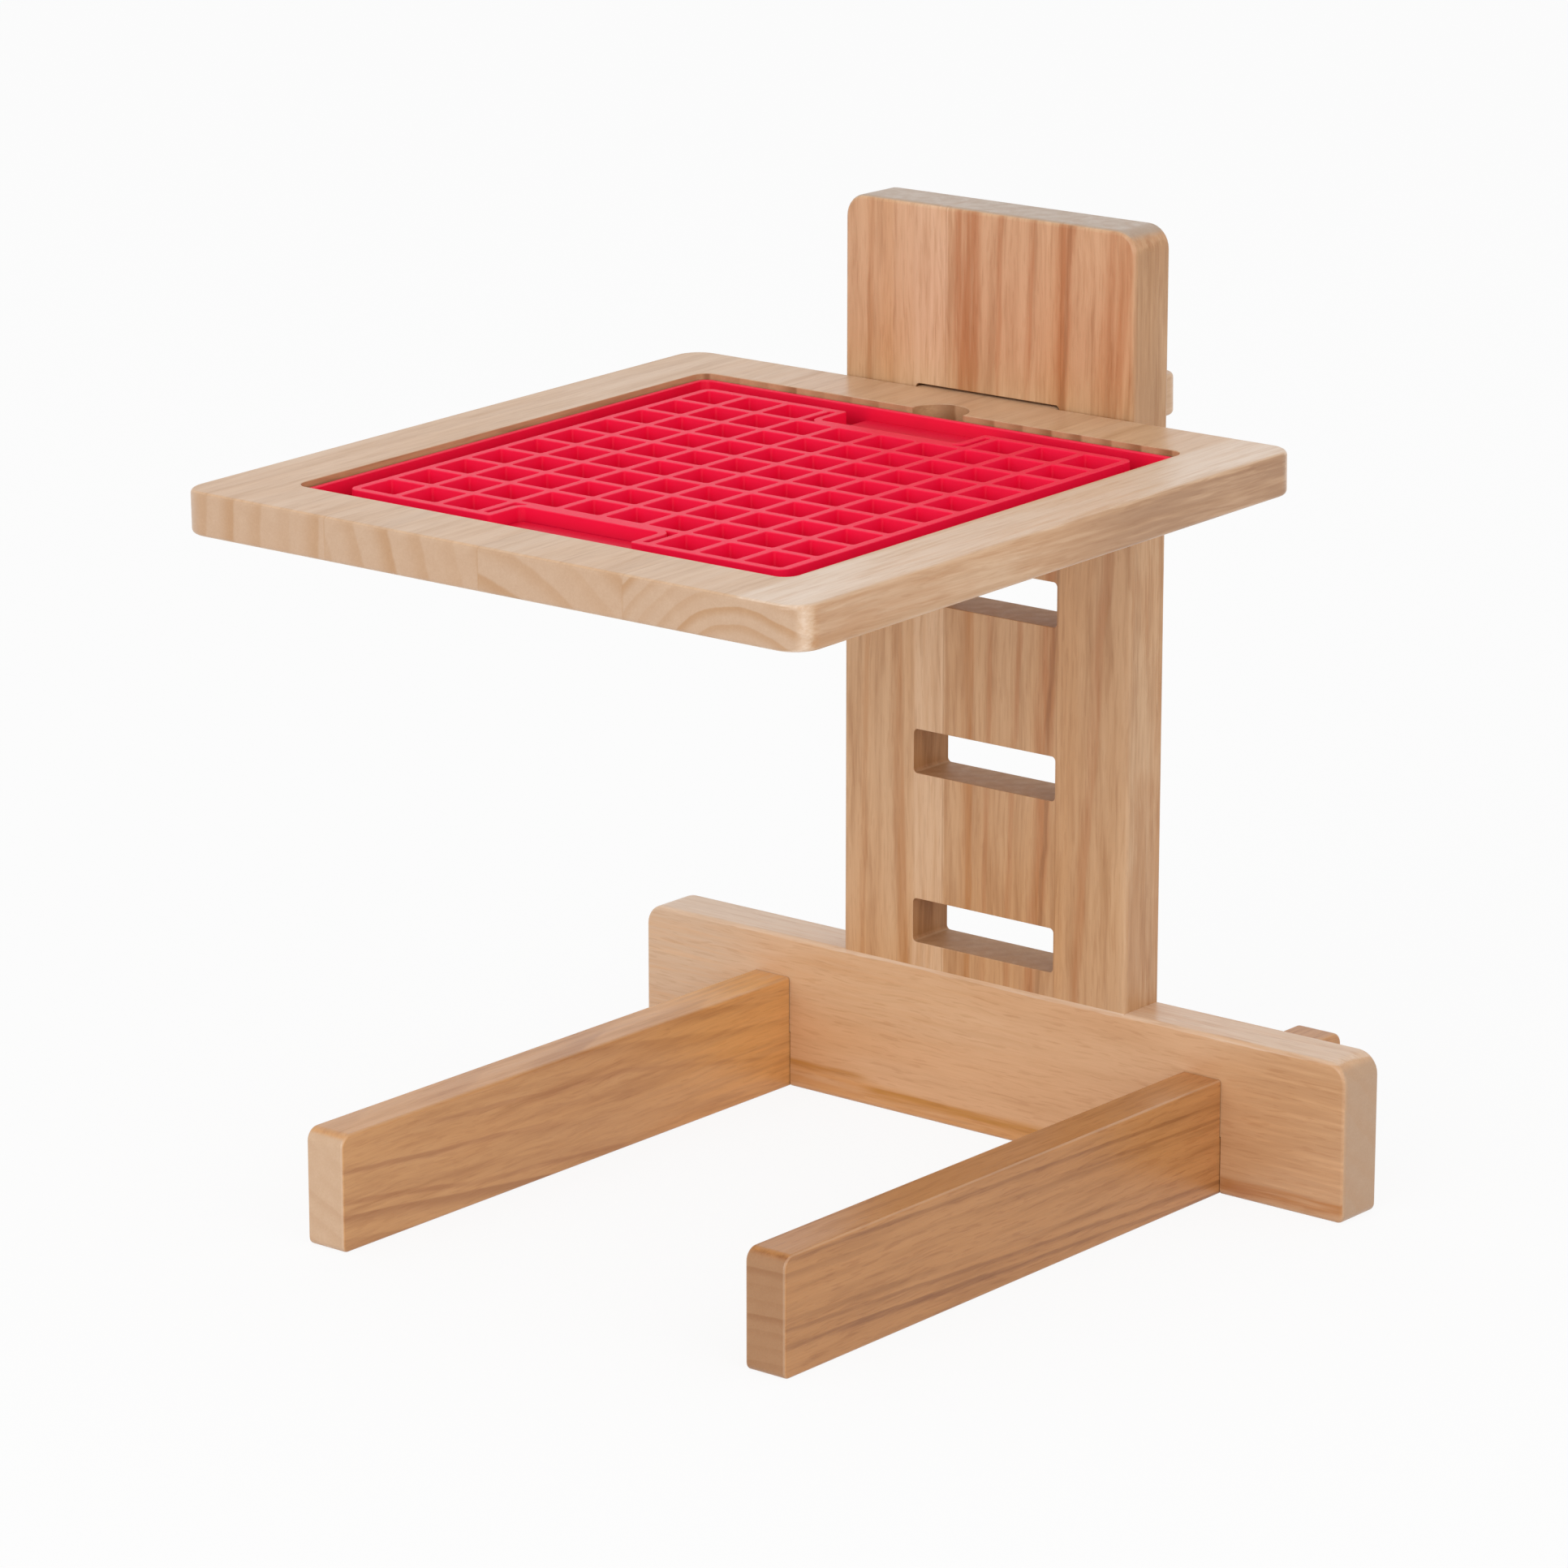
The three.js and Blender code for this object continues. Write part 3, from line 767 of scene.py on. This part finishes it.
CROSSBAR_WOOD = timber(
    "crossbar wood", "xzy", paint(216, 174, 134), paint(184, 132, 84), paint(212, 161, 115),
    paint(182, 148, 118), (0, 0.20, 0.16), 0.011, lean=0.02, wander=0.010, seed=2.0, rings=0.20,
    mottle=0.20, lines=0.10, dashes=0.10, warm_share=0.5, end_share=0.85, end_rings=0.3, wear_and_highlight=0.04,
    # The first streak is the wood's pale figure on the front; where it reaches the top face it is painted
    # sheen.
    streaks=[streak(0.0480, 0.0, 0.020, 0.5, PALE, 0.02, 0.01, -0.20, 0.06, 0.1),
             streak(0.0300, 0.0, 0.060, 0.65, paint(208, 180, 154), 0.01, 0.01, -0.20, -0.08, 0.05),
             # Darker over the crossbar's right end, beyond the right leg.
             streak(0.0250, 0.0, 0.050, 0.65, paint(186, 141, 102), 0.002, 0.006, 0.08, 0.4, 0.05),
             streak(0.0020, -0.010, 0.007, 0.8, paint(206, 146, 82), 0.004, 0.004, -0.10, 0.09),
             streak(0.0100, 0.0, 0.0006, 0.8, AMBER, 0.0030, 0.0006, -0.100, -0.045, 0.012, 0.003),
             streak(0.0062, 0.0, 0.0014, 0.95, AMBER, 0.0030, 0.0012, -0.056, 0.050, 0.012, 0.003),
             streak(0.0035, 0.010, 0.0016, 0.9, HONEY, 0.003, 0.002, 0.095, 0.16, 0.01),
             streak(0.0030, 0.0, 0.003, 0.85, RUST, 0.004, 0.004, 0.092, 0.125, 0.02),
             # Painted sheen: a pale strip along the top face and upper arris, the top lighter as light
             # falls on it.
             streak(0.0560, 0.0, 0.004, 0.85, PAINTED_SHEEN_AND_WEAR, 0.0005, 0.001)])
UPRIGHT_WOOD = timber(
    "upright wood", "zxy", paint(208, 168, 128), paint(160, 108, 62), paint(206, 156, 108),
    paint(172, 150, 130), (0, -0.16, 0.05), 0.0075, lean=0.02, wander=0.014, seed=5.0, rings=0.34,
    mottle=0.42, lines=0.24, dashes=0.08, warm_share=0.6, end_share=0.9, end_rings=0.3, wear_and_highlight=0.1,
    staves=[(-0.0175, (0, -0.11, 0.10), 0.0065, 9.0), (0.0305, (0, 0.20, 0.12), 0.0090, 14.0)],
    streaks=[streak(-0.0232, 0.0, 0.0118, 0.85, PALE, 0.003, 0.0008, waver=0.002),
             streak(-0.0340, 0.0, 0.0060, 0.5, PALE, 0.004, 0.004, 0.24, 0.4),
             streak(0.0205, 0.0, 0.0730, 0.25, paint(176, 124, 74), 0.002, 0.002, -1.0, 0.22, 0.05),
             streak(-0.0520, 0.010, 0.0006, 0.4, HONEY, 0.0020, 0.0012, waver=0.006),
             streak(-0.0324, -0.026, 0.0016, 0.55, HONEY, 0.004, 0.0014, end=0.21, fade=0.06),
             streak(-0.0080, 0.0, 0.0060, 0.75, RUST, 0.004, 0.004, 0.22, 0.4, 0.04, 0.006),
             streak(-0.0060, 0.0, 0.0008, 0.7, HONEY, 0.005, 0.0014, end=0.27, fade=0.05),
             streak(-0.0011, 0.021, 0.0006, 0.5, RUST, 0.002, 0.001),
             streak(0.0088, 0.032, 0.0008, 0.5, RUST, 0.002, 0.001, waver=0.006),
             streak(0.0200, 0.045, 0.0020, 0.8, RUST, 0.005, 0.0030, waver=0.010),
             streak(0.0207, 0.045, 0.0006, 0.45, BROWN, 0.0014, 0.0010, waver=0.010),
             streak(0.0356, 0.074, 0.0012, 0.5, RUST, 0.004, 0.0016, waver=0.008),
             streak(0.0300, 0.074, 0.0040, 0.45, RUST, 0.006, 0.004, 0.2, 0.4, 0.05, 0.006),
             streak(0.0614, 0.0, 0.0020, 0.45, HONEY, 0.0006, 0.0006),
             streak(0.0614, 0.0, 0.0020, 0.4, paint(166, 128, 90), 0.0006, 0.0006, 0.24, 0.4)])
SLOT_WOOD = timber(
    "slot wood", "zxy", paint(190, 140, 94), paint(146, 100, 62), paint(182, 130, 82),
    paint(190, 150, 112), (0, -0.11, 0.10), 0.0065, wander=0.006, seed=9.0, rings=0.4, mottle=0.5,
    end_share=0.9, end_rings=0.2, gloss=0.5, sheen=0.2)
LEFT_LEG_WOOD = timber(
    "left leg wood", "yzx", paint(209, 157, 104), paint(160, 102, 56), paint(208, 147, 87),
    paint(200, 168, 138), (0, -0.13, -0.14), 0.0075, lean=0.125, wander=0.006, seed=21.0, rings=0.62,
    mottle=0.30, lines=0.14, warm_share=0.5, end_share=0.9, end_rings=0.15,
    streaks=[streak(-0.0207, -0.161, 0.0006, 0.50, RUSSET, 0.0014, 0.0008, -0.30, -0.165, 0.03, 0.004),
             streak(-0.0076, -0.088, 0.0006, 0.50, RUSSET, 0.0014, 0.0008, -0.185, -0.08, 0.03, 0.004),
             streak(0.0052, -0.095, 0.0006, 0.50, RUSSET, 0.0014, 0.0008, -0.30, -0.12, 0.03, 0.004),
             streak(0.0214, -0.064, 0.0006, 0.42, RUSSET, 0.0014, 0.0008, -0.21, -0.08, 0.03, 0.004),
             streak(0.0094, -0.185, 0.0005, 0.42, RUSSET, 0.0012, 0.0008, -0.11, 0.10, 0.03, 0.004),
             # Painted light: a warm patch at the leg's rear for the bounce light off the crossbar, against
             # its shadow.
             streak(0.0200, 0.0, 0.05, 0.75, paint(236, 179, 111), 0.01, 0.01, -0.11, 0.1, 0.09),
             # Painted sheen: a pale strip along the leg's top face, the top lighter as light falls on it.
             streak(0.0418, 0.0, 0.0020, 0.7, PAINTED_SHEEN_AND_WEAR, 0.0005, 0.001, -0.12, 0.1, 0.06)])
RIGHT_LEG_WOOD = timber(
    "right leg wood", "yzx", paint(191, 135, 82), paint(138, 86, 42), paint(186, 127, 71),
    paint(152, 114, 82), (0, -0.14, 0.10), 0.0050, lean=0.042, wander=0.003, seed=33.0, rings=0.46,
    mottle=0.26, lines=0.18, dashes=0.14, warm_share=0.45, end_share=0.7, end_rings=0.5,
    # Painted light: a warm patch at the leg's rear for the bounce light off the crossbar.
    streaks=[streak(0.0200, 0.0, 0.05, 0.5, paint(216, 156, 101), 0.01, 0.01, -0.08, 0.1, 0.08),
             streak(0.0000, -0.0455, 0.0010, 0.66, UMBER, 0.0014, 0.0006, -0.260, -0.10, 0.04, 0.0015),
             streak(0.0000, -0.0455, 0.0005, 0.45, UMBER, 0.0012, 0.0006, -0.140, 0.1, 0.04, 0.0015),
             streak(0.0041, -0.0496, 0.0005, 0.45, UMBER, 0.0012, 0.0006, -0.3, 0.1, 0.03, 0.002),
             streak(0.0316, -0.0313, 0.0005, 0.50, UMBER, 0.0012, 0.0006, -0.3, 0.1, 0.03, 0.0015),
             streak(0.0265, -0.0300, 0.0004, 0.40, UMBER, 0.0010, 0.0006, -0.11, 0.1, 0.03, 0.003)])
TRAY_WOOD = timber(
    "tray wood", "yxz", paint(212, 176, 142), paint(178, 134, 92), paint(210, 166, 124),
    paint(184, 153, 127), (0, -0.27, 0.250), 0.012, wander=0.004, seed=41.0, rings=0.42,
    mottle=0.26, lines=0.12, warm_share=0.45, end_share=0.7, end_rings=0.8, wear_and_highlight=0.03,
    staves=[(-0.06375, (0, -0.17, 0.20), 0.013, 44.0), (0.0, (0, -0.02, 0.16), 0.011, 47.0),
            (0.0580, (0, 0.105, 0.212), 0.0055, 52.0)],
    streaks=[streak(0.1140, 0.0, 0.020, 0.85, paint(228, 204, 182), 0.004, 0.002, fade=0.05),
             streak(0.1280, 0.0, 0.0020, 0.45, HONEY, 0.0008, 0.0006),
             streak(0.1280, 0.0, 0.0020, 0.75, paint(160, 120, 88), 0.0008, 0.0006, -0.16, 0.1, 0.08)])
ROUTED_WOOD = timber(
    "routed wood", "yxz", paint(200, 160, 118), paint(150, 106, 66), paint(188, 142, 96),
    paint(184, 142, 104), (0, -0.36, 0.25), 0.012, wander=0.004, seed=41.0, rings=0.5,
    mottle=0.6, warm_share=0.5, gloss=0.5)
DOWEL_WOOD = timber(
    "dowel wood", "zxy", paint(208, 176, 136), paint(184, 140, 96), paint(204, 164, 120),
    paint(188, 150, 112), (0, 0.05, 0.04), 0.002, wander=0.001, seed=61.0, rings=0.4)
DISH_PLASTIC = moulded("dish plastic", paint(242, 6, 62), paint(231, 0, 55), 0.44, 0.45, 2600.0, 1.0)
PAD_RUBBER = moulded("pad rubber", paint(246, 6, 67), paint(239, 2, 60), 0.50, 0.35, 3200.0, 2.0)

# ---- Boards ----------------------------------------------------------------------------

# A face is a wall of a cut when its normal leans less than this towards the board's own face.
STEEP = 0.5
# These lay a slab's x, y and thickness along the stand's own axes.
FACING_FRONT = Matrix(((1, 0, 0, 0), (0, 0, -1, 0), (0, 1, 0, 0), (0, 0, 0, 1)))
FACING_SIDE = Matrix(((0, 0, 1, 0), (1, 0, 0, 0), (0, 1, 0, 0), (0, 0, 0, 1)))


def laid(piece, way, shift):
    """Turns a slab into the stand's axes, in its mesh, and moves it."""
    piece.data.transform(Matrix.Translation(shift) @ way)
    piece.data.update()
    return piece


def dowel_bores():
    """Cutters for the holes of the four dowels."""
    bores = []
    for name in DOWELS:
        low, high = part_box(name)
        centre = (low + high) / 2
        bores.append(drill(centre, (high.x - low.x) / 2 + DOWEL_GAP, high.z - low.z + 2 * DOWEL_END_GAP))
    return bores


def crossbar():
    """The crossbar, notched below for the legs and flat on top where the upright stands."""
    corners = rectangle(BAR_LOW.x, BAR_LOW.z, BAR_HIGH.x, BAR_HIGH.z, BAR_CORNER, BAR_FOOT_CORNER)
    bar = laid(slab("crossbar_board", corners, BAR_THICKNESS, BOARD_ARRIS), FACING_FRONT,
               (0, BAR_HIGH.y, 0))
    seat = rectangle(POST_LOW.x, BAR_LOW.y, POST_HIGH.x, BAR_HIGH.y, BOARD_ARRIS)
    foot = laid(slab("foot", seat, FOOT_DEPTH, 0.0), Matrix.Identity(4), (0, 0, POST_FOOT - FOOT_DEPTH))
    combine(bar, [foot], "UNION")
    cutters = dowel_bores()
    for side in ("left", "right"):
        low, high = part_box(f"leg_{side}")
        cutters.append(block((low.x - LAP_GAP, -REACH, -REACH),
                             (high.x + LAP_GAP, REACH, LAP_WEB + LAP_GAP / 2)))
    return combine(bar, cutters)


def upright():
    """The slotted upright, made longer and then sawn off square at its foot."""
    half = (POST_HIGH.x - POST_LOW.x) / 2
    buried = POST_FOOT - POST_SUNK
    corners = [(-half, buried, 0), (half, buried, 0), (half, POST_HIGH.z, POST_CORNER),
               (-half, POST_HIGH.z, POST_CORNER)]
    height = TRAY_THICKNESS + SLOT_CLEARANCE
    bottoms = [POST_FOOT + SLOT_SILL + k * SLOT_PITCH for k in range(SLOT_COUNT)]
    slots = [rectangle(-SLOT_WIDTH / 2, z, SLOT_WIDTH / 2, z + height, SLOT_CORNER) for z in bottoms]
    board = slab("upright_board", corners, BAR_THICKNESS, BOARD_ARRIS, slots, SLOT_EASE)
    laid(board, FACING_FRONT, (0, BAR_HIGH.y, 0))
    return combine(saw_off(board, POST_FOOT), dowel_bores())


def show_cut(piece, wood, is_cut):
    """Gives the faces that pass a test a second, browner wood."""
    piece.data.materials.append(wood)
    for face in piece.data.polygons:
        if is_cut(face):
            face.material_index = len(piece.data.materials) - 1


def in_slot(face):
    """Whether a face of the upright is a wall of a slot."""
    inside = abs(face.center.x) <= SLOT_WIDTH / 2 + SLOT_EASE
    below_head = POST_FOOT + SLOT_SILL / 2 < face.center.z < POST_HIGH.z - SLOT_PITCH / 2
    return inside and below_head and abs(face.normal.y) < STEEP


def leg(side):
    """A leg, notched from above for the crossbar."""
    low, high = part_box(f"leg_{side}")
    corners = rectangle(low.y, low.z, high.y, high.z, LEG_CORNER, LEG_FOOT_CORNER)
    board = laid(slab(f"leg_{side}_board", corners, high.x - low.x, LEG_ARRIS), FACING_SIDE,
                 (low.x, 0, 0))
    notch = block((-REACH, BAR_LOW.y - LAP_GAP, LAP_WEB - LAP_GAP / 2),
                  (REACH, BAR_HIGH.y + LAP_GAP, REACH))
    return combine(board, [notch])


# ---- Tray ------------------------------------------------------------------------------


def recess_outline(grow):
    """The mat's recess with its half-round finger notch behind, made larger by grow."""
    around = outline(square(RECESS_SIDE, RECESS_CORNER), -grow)
    radius = FINGER_RADIUS + grow
    start = math.asin(grow / radius)
    steps = 4 * ARC_STEPS
    turns = [start + (math.pi - 2 * start) * k / steps for k in range(steps + 1)]
    notch = [Vector((radius * math.cos(a), RECESS_SIDE / 2 + radius * math.sin(a))) for a in turns]
    third_corner = 3 * (ARC_STEPS + 1)
    points = around[:third_corner] + notch + around[third_corner:]
    return [point + Vector((0, TRAY_CENTRE)) for point in points]


def tray():
    """The tray board with its recess and its tongue, drooping in its slot."""
    half, tongue = TRAY_SIDE / 2, TONGUE_WIDTH / 2
    front, rear, tail = -SHOULDER_GAP - TRAY_SIDE, -SHOULDER_GAP, BAR_THICKNESS + TONGUE_TAIL
    corners = [(-half, front, TRAY_CORNER), (half, front, TRAY_CORNER), (half, rear, TRAY_CORNER),
               (tongue, rear, 0), (tongue, tail, TONGUE_CORNER), (-tongue, tail, TONGUE_CORNER),
               (-tongue, rear, 0), (-half, rear, TRAY_CORNER)]
    skin = Skin()

    def edge(inset):
        return outline(corners, inset)

    under = skin.edge_round(edge, BOARD_ARRIS, 0, 1)
    over = skin.edge_round(edge, BOARD_ARRIS, TRAY_THICKNESS, 0)
    skin.walls(under + over[::-1])
    skin.cap(under[0])
    floor = TRAY_THICKNESS - RECESS_DEPTH
    mouth = skin.edge_round(recess_outline, RECESS_EASE, TRAY_THICKNESS, 0, EASE_STEPS)
    skin.cap(over[0], mouth[0])
    base = skin.ring(recess_outline(0), floor)
    skin.walls(mouth + [base])
    skin.cap(base)
    return skin.finish("tray_panel", TRAY_PLACE)


def in_routing(face):
    """Whether a face of the tray is a wall of the recess or of its finger notch."""
    half = RECESS_SIDE / 2 + RECESS_EASE
    centre = TRAY_PLACE.inverted() @ face.center
    aside, behind = abs(centre.x), centre.y - TRAY_CENTRE
    in_notch = aside <= FINGER_RADIUS and 0 < behind < half + FINGER_RADIUS
    in_recess = aside <= half and abs(behind) <= half
    return (in_recess or in_notch) and abs(face.normal.z) < STEEP


# ---- Lick mat --------------------------------------------------------------------------


def dish():
    """The mat's dish: its floor, its rim and the raised plates of the two bays."""
    skin = Skin()

    def outside(inset):
        return outline(square(DISH_SIDE, DISH_CORNER), inset)

    def inside(inset):
        return outline(square(DISH_SIDE - 2 * DISH_WALL, DISH_CORNER - DISH_WALL), inset)

    under = skin.edge_round(outside, DISH_ROUND, 0, 1, MOULD_STEPS)
    over = skin.edge_round(outside, DISH_ROUND, DISH_HEIGHT, 0, MOULD_STEPS)
    skin.walls(under + over[::-1])
    skin.cap(under[0])
    lip = skin.edge_round(lambda inset: inside(-inset), DISH_ROUND, DISH_HEIGHT, 0, MOULD_STEPS)
    skin.cap(over[0], lip[0])
    foot = [skin.ring(inside(inset), DISH_FLOOR + rise)
            for inset, rise in fillet(DISH_FILLET, DISH_FILLET_STEPS)]
    skin.walls(lip + foot)
    skin.cap(foot[-1])
    moulding = skin.finish("mat_dish_moulding")
    combine(moulding, [bay_plate(end) for end in (-1, 1)], "UNION")
    moulding.data.transform(MAT_PLACE)
    return moulding


def bay_plate(end):
    """The raised plate of a bay, which runs out to the dish's wall."""
    half = BAY_HALF - MAT_GAP
    inner, outer = BAY_BACK + MAT_GAP, (DISH_SIDE - DISH_WALL) / 2
    corners = rectangle(-half, inner, half, outer, 0, BAY_CORNER)
    buried = DISH_FLOOR / 2
    top = DISH_FLOOR + PLATE_RISE
    face = Matrix.Rotation(0 if end > 0 else math.pi, 4, "Z") @ Matrix.Translation((0, 0, buried))
    return slab("plate", corners, top - buried, PLATE_ROUND, place=face)


def pockets():
    """Outlines of the pad's square pockets, leaving out the cells of the two bays."""
    cells = []
    size = CELL_PITCH - RIB_THICKNESS
    for row in range(CELL_COUNT):
        y = (row - CELL_COUNT / 2) * CELL_PITCH + RIB_THICKNESS / 2
        for column in range(CELL_COUNT):
            x = (column - CELL_COUNT / 2) * CELL_PITCH + RIB_THICKNESS / 2
            in_bay = row in (0, CELL_COUNT - 1) and abs(x + size / 2) < BAY_LINE
            if not in_bay:
                cells.append(rectangle(x, y, x + size, y + size, CELL_CORNER))
    return cells


def slit(side, end):
    """Outline of the slit between a bay's rounded wall and the nearest rib."""
    inner, outer = BAY_HALF + RIB_THICKNESS, BAY_LINE - RIB_THICKNESS / 2
    bend = BAY_CORNER + RIB_THICKNESS
    near, far = END_ROW, END_ROW + CELL_PITCH - RIB_THICKNESS
    turn = math.radians(SLIT_TURN)
    tip = (inner - bend * (1 - math.cos(turn)), near + bend * (1 - math.sin(turn)))
    corner = near + bend * (1 - math.tan(turn / 2))
    points = [(tip[0], near, 0), (outer, near, SLIT_CORNER), (outer, far, SLIT_CORNER),
              (inner, far, SLIT_CORNER), (inner, corner, bend), (*tip, 0)]
    points = [(side * x, end * y, radius) for x, y, radius in points]
    return points if side * end > 0 else points[::-1]


def sink(skin, well, radius):
    """Sinks a well with tapered walls into the pad, and returns the ring of its mouth."""
    mouth = skin.edge_round(lambda inset: outline(well, -inset, WELL_STEPS), RIB_ROUND, PAD_HEIGHT, 0,
                            MOULD_STEPS)
    foot = [skin.ring(outline(well, CELL_DRAFT + inset, WELL_STEPS), PAD_FLOOR + rise)
            for inset, rise in fillet(radius, WELL_FILLET_STEPS)]
    skin.walls(mouth + foot)
    skin.cap(foot[-1])
    return mouth[0]


def pad():
    """The pad: a square of ribs with pockets between them and a bay front and back."""
    half, lip = PAD_SIDE / 2, RIB_THICKNESS / 2
    front = [(-half, -half, PAD_CORNER), (-BAY_HALF, -half, lip), (-BAY_HALF, -BAY_BACK, BAY_CORNER),
             (BAY_HALF, -BAY_BACK, BAY_CORNER), (BAY_HALF, -half, lip), (half, -half, PAD_CORNER)]
    corners = front + [(-x, -y, radius) for x, y, radius in front]
    skin = Skin()
    base = skin.ring(outline(corners), 0)
    over = skin.edge_round(lambda inset: outline(corners, inset), RIB_ROUND, PAD_HEIGHT, 0, MOULD_STEPS)
    skin.walls([base] + over[::-1])
    skin.cap(base)
    tops = [over[0]]
    slits = [slit(side, end) for side in (-1, 1) for end in (-1, 1)]
    for well in pockets():
        tops.append(sink(skin, well, CELL_FILLET))
    for well in slits:
        tops.append(sink(skin, well, SLIT_FILLET))
    skin.cap(*tops)
    lift = Matrix.Translation((0, 0, DISH_FLOOR + MAT_GAP))
    return skin.finish("mat_pad_moulding", MAT_PLACE @ lift)


# ---- Floor and light -------------------------------------------------------------------

FLOOR_RADIUS = 9.0
FLOOR_SIDES = 96
FLOOR_GLOW = 0.9
PAPER = (0.86, 0.86, 0.86, 1)
WHITE = (1, 1, 1, 1)
SKY = 0.75
LAMP_AIM = Vector((0, -0.1, 0.15))
# Each lamp's name, place, side and power in watts.
LAMPS = [("key", (0.2, -2.6, 1.0), 2.0, 26.0), ("fill", (2.2, -0.6, 1.2), 1.5, 9.0)]


def seen_share(tree):
    """1 for rays that show a background: camera, mirror and clear ones."""
    path = tree.nodes.new("ShaderNodeLightPath").outputs
    shown = maths(tree, "MAXIMUM", path["Is Camera Ray"], path["Is Glossy Ray"])
    return maths(tree, "MAXIMUM", shown, path["Is Transmission Ray"])


def floor():
    """A pale round floor that glows white where it is seen."""
    mesh = bmesh.new()
    bmesh.ops.create_circle(mesh, cap_ends=True, radius=FLOOR_RADIUS, segments=FLOOR_SIDES)
    data = bpy.data.meshes.new("floor")
    mesh.to_mesh(data)
    mesh.free()
    put("floor", data)
    material = bpy.data.materials.new("white floor")
    tree = empty_tree(material)
    paper = add(tree, "ShaderNodeBsdfDiffuse", {"Color": PAPER})
    glow = add(tree, "ShaderNodeEmission", {"Color": WHITE, "Strength": 1.0})
    share = maths(tree, "MULTIPLY", seen_share(tree), FLOOR_GLOW)
    mix = add(tree, "ShaderNodeMixShader", {0: share, 1: paper.outputs[0], 2: glow.outputs[0]})
    output = tree.nodes.new("ShaderNodeOutputMaterial")
    tree.links.new(mix.outputs[0], output.inputs[0])
    data.materials.append(material)


def sky():
    """Even light from all round, with a plain white background behind the stand."""
    world = bpy.data.worlds.new("studio")
    bpy.context.scene.world = world
    tree = empty_tree(world)
    soft = add(tree, "ShaderNodeBackground", {"Color": WHITE, "Strength": SKY})
    white = add(tree, "ShaderNodeBackground", {"Color": WHITE, "Strength": 1.0})
    mix = add(tree, "ShaderNodeMixShader", {0: seen_share(tree), 1: soft.outputs[0], 2: white.outputs[0]})
    output = tree.nodes.new("ShaderNodeOutputWorld")
    tree.links.new(mix.outputs[0], output.inputs[0])


def softbox(name, spot, size, power):
    """A square lamp that faces the stand."""
    data = bpy.data.lights.new(name, "AREA")
    data.size = size
    data.energy = power
    lamp = put(name, data)
    lamp.location = spot
    lamp.rotation_euler = (LAMP_AIM - Vector(spot)).to_track_quat("-Z", "Y").to_euler()


# ---- The stand -------------------------------------------------------------------------

place_camera()
dress(crossbar(), "frame", "tan_wood", CROSSBAR_WOOD, "crossbar")
post = dress(upright(), "frame", "tan_wood", UPRIGHT_WOOD, "upright")
show_cut(post, SLOT_WOOD, in_slot)
dress(leg("left"), "legs", "warm_wood", LEFT_LEG_WOOD, "leg_left")
dress(leg("right"), "legs", "warm_wood", RIGHT_LEG_WOOD, "leg_right")
panel = dress(tray(), "tray", "pale_wood", TRAY_WOOD, "tray_board")
show_cut(panel, ROUTED_WOOD, in_routing)
dress(dish(), "mat", "dish_plastic", DISH_PLASTIC, "mat_dish")
dress(pad(), "mat", "pad_rubber", PAD_RUBBER, "mat_pad")
for name in DOWELS:
    pin = frame["nodes"][name]
    pin.data.materials.clear()
    pin.data.materials.append(DOWEL_WOOD)

floor()
sky()
for lamp in LAMPS:
    softbox(*lamp)
bpy.context.scene.view_settings.view_transform = "Standard"
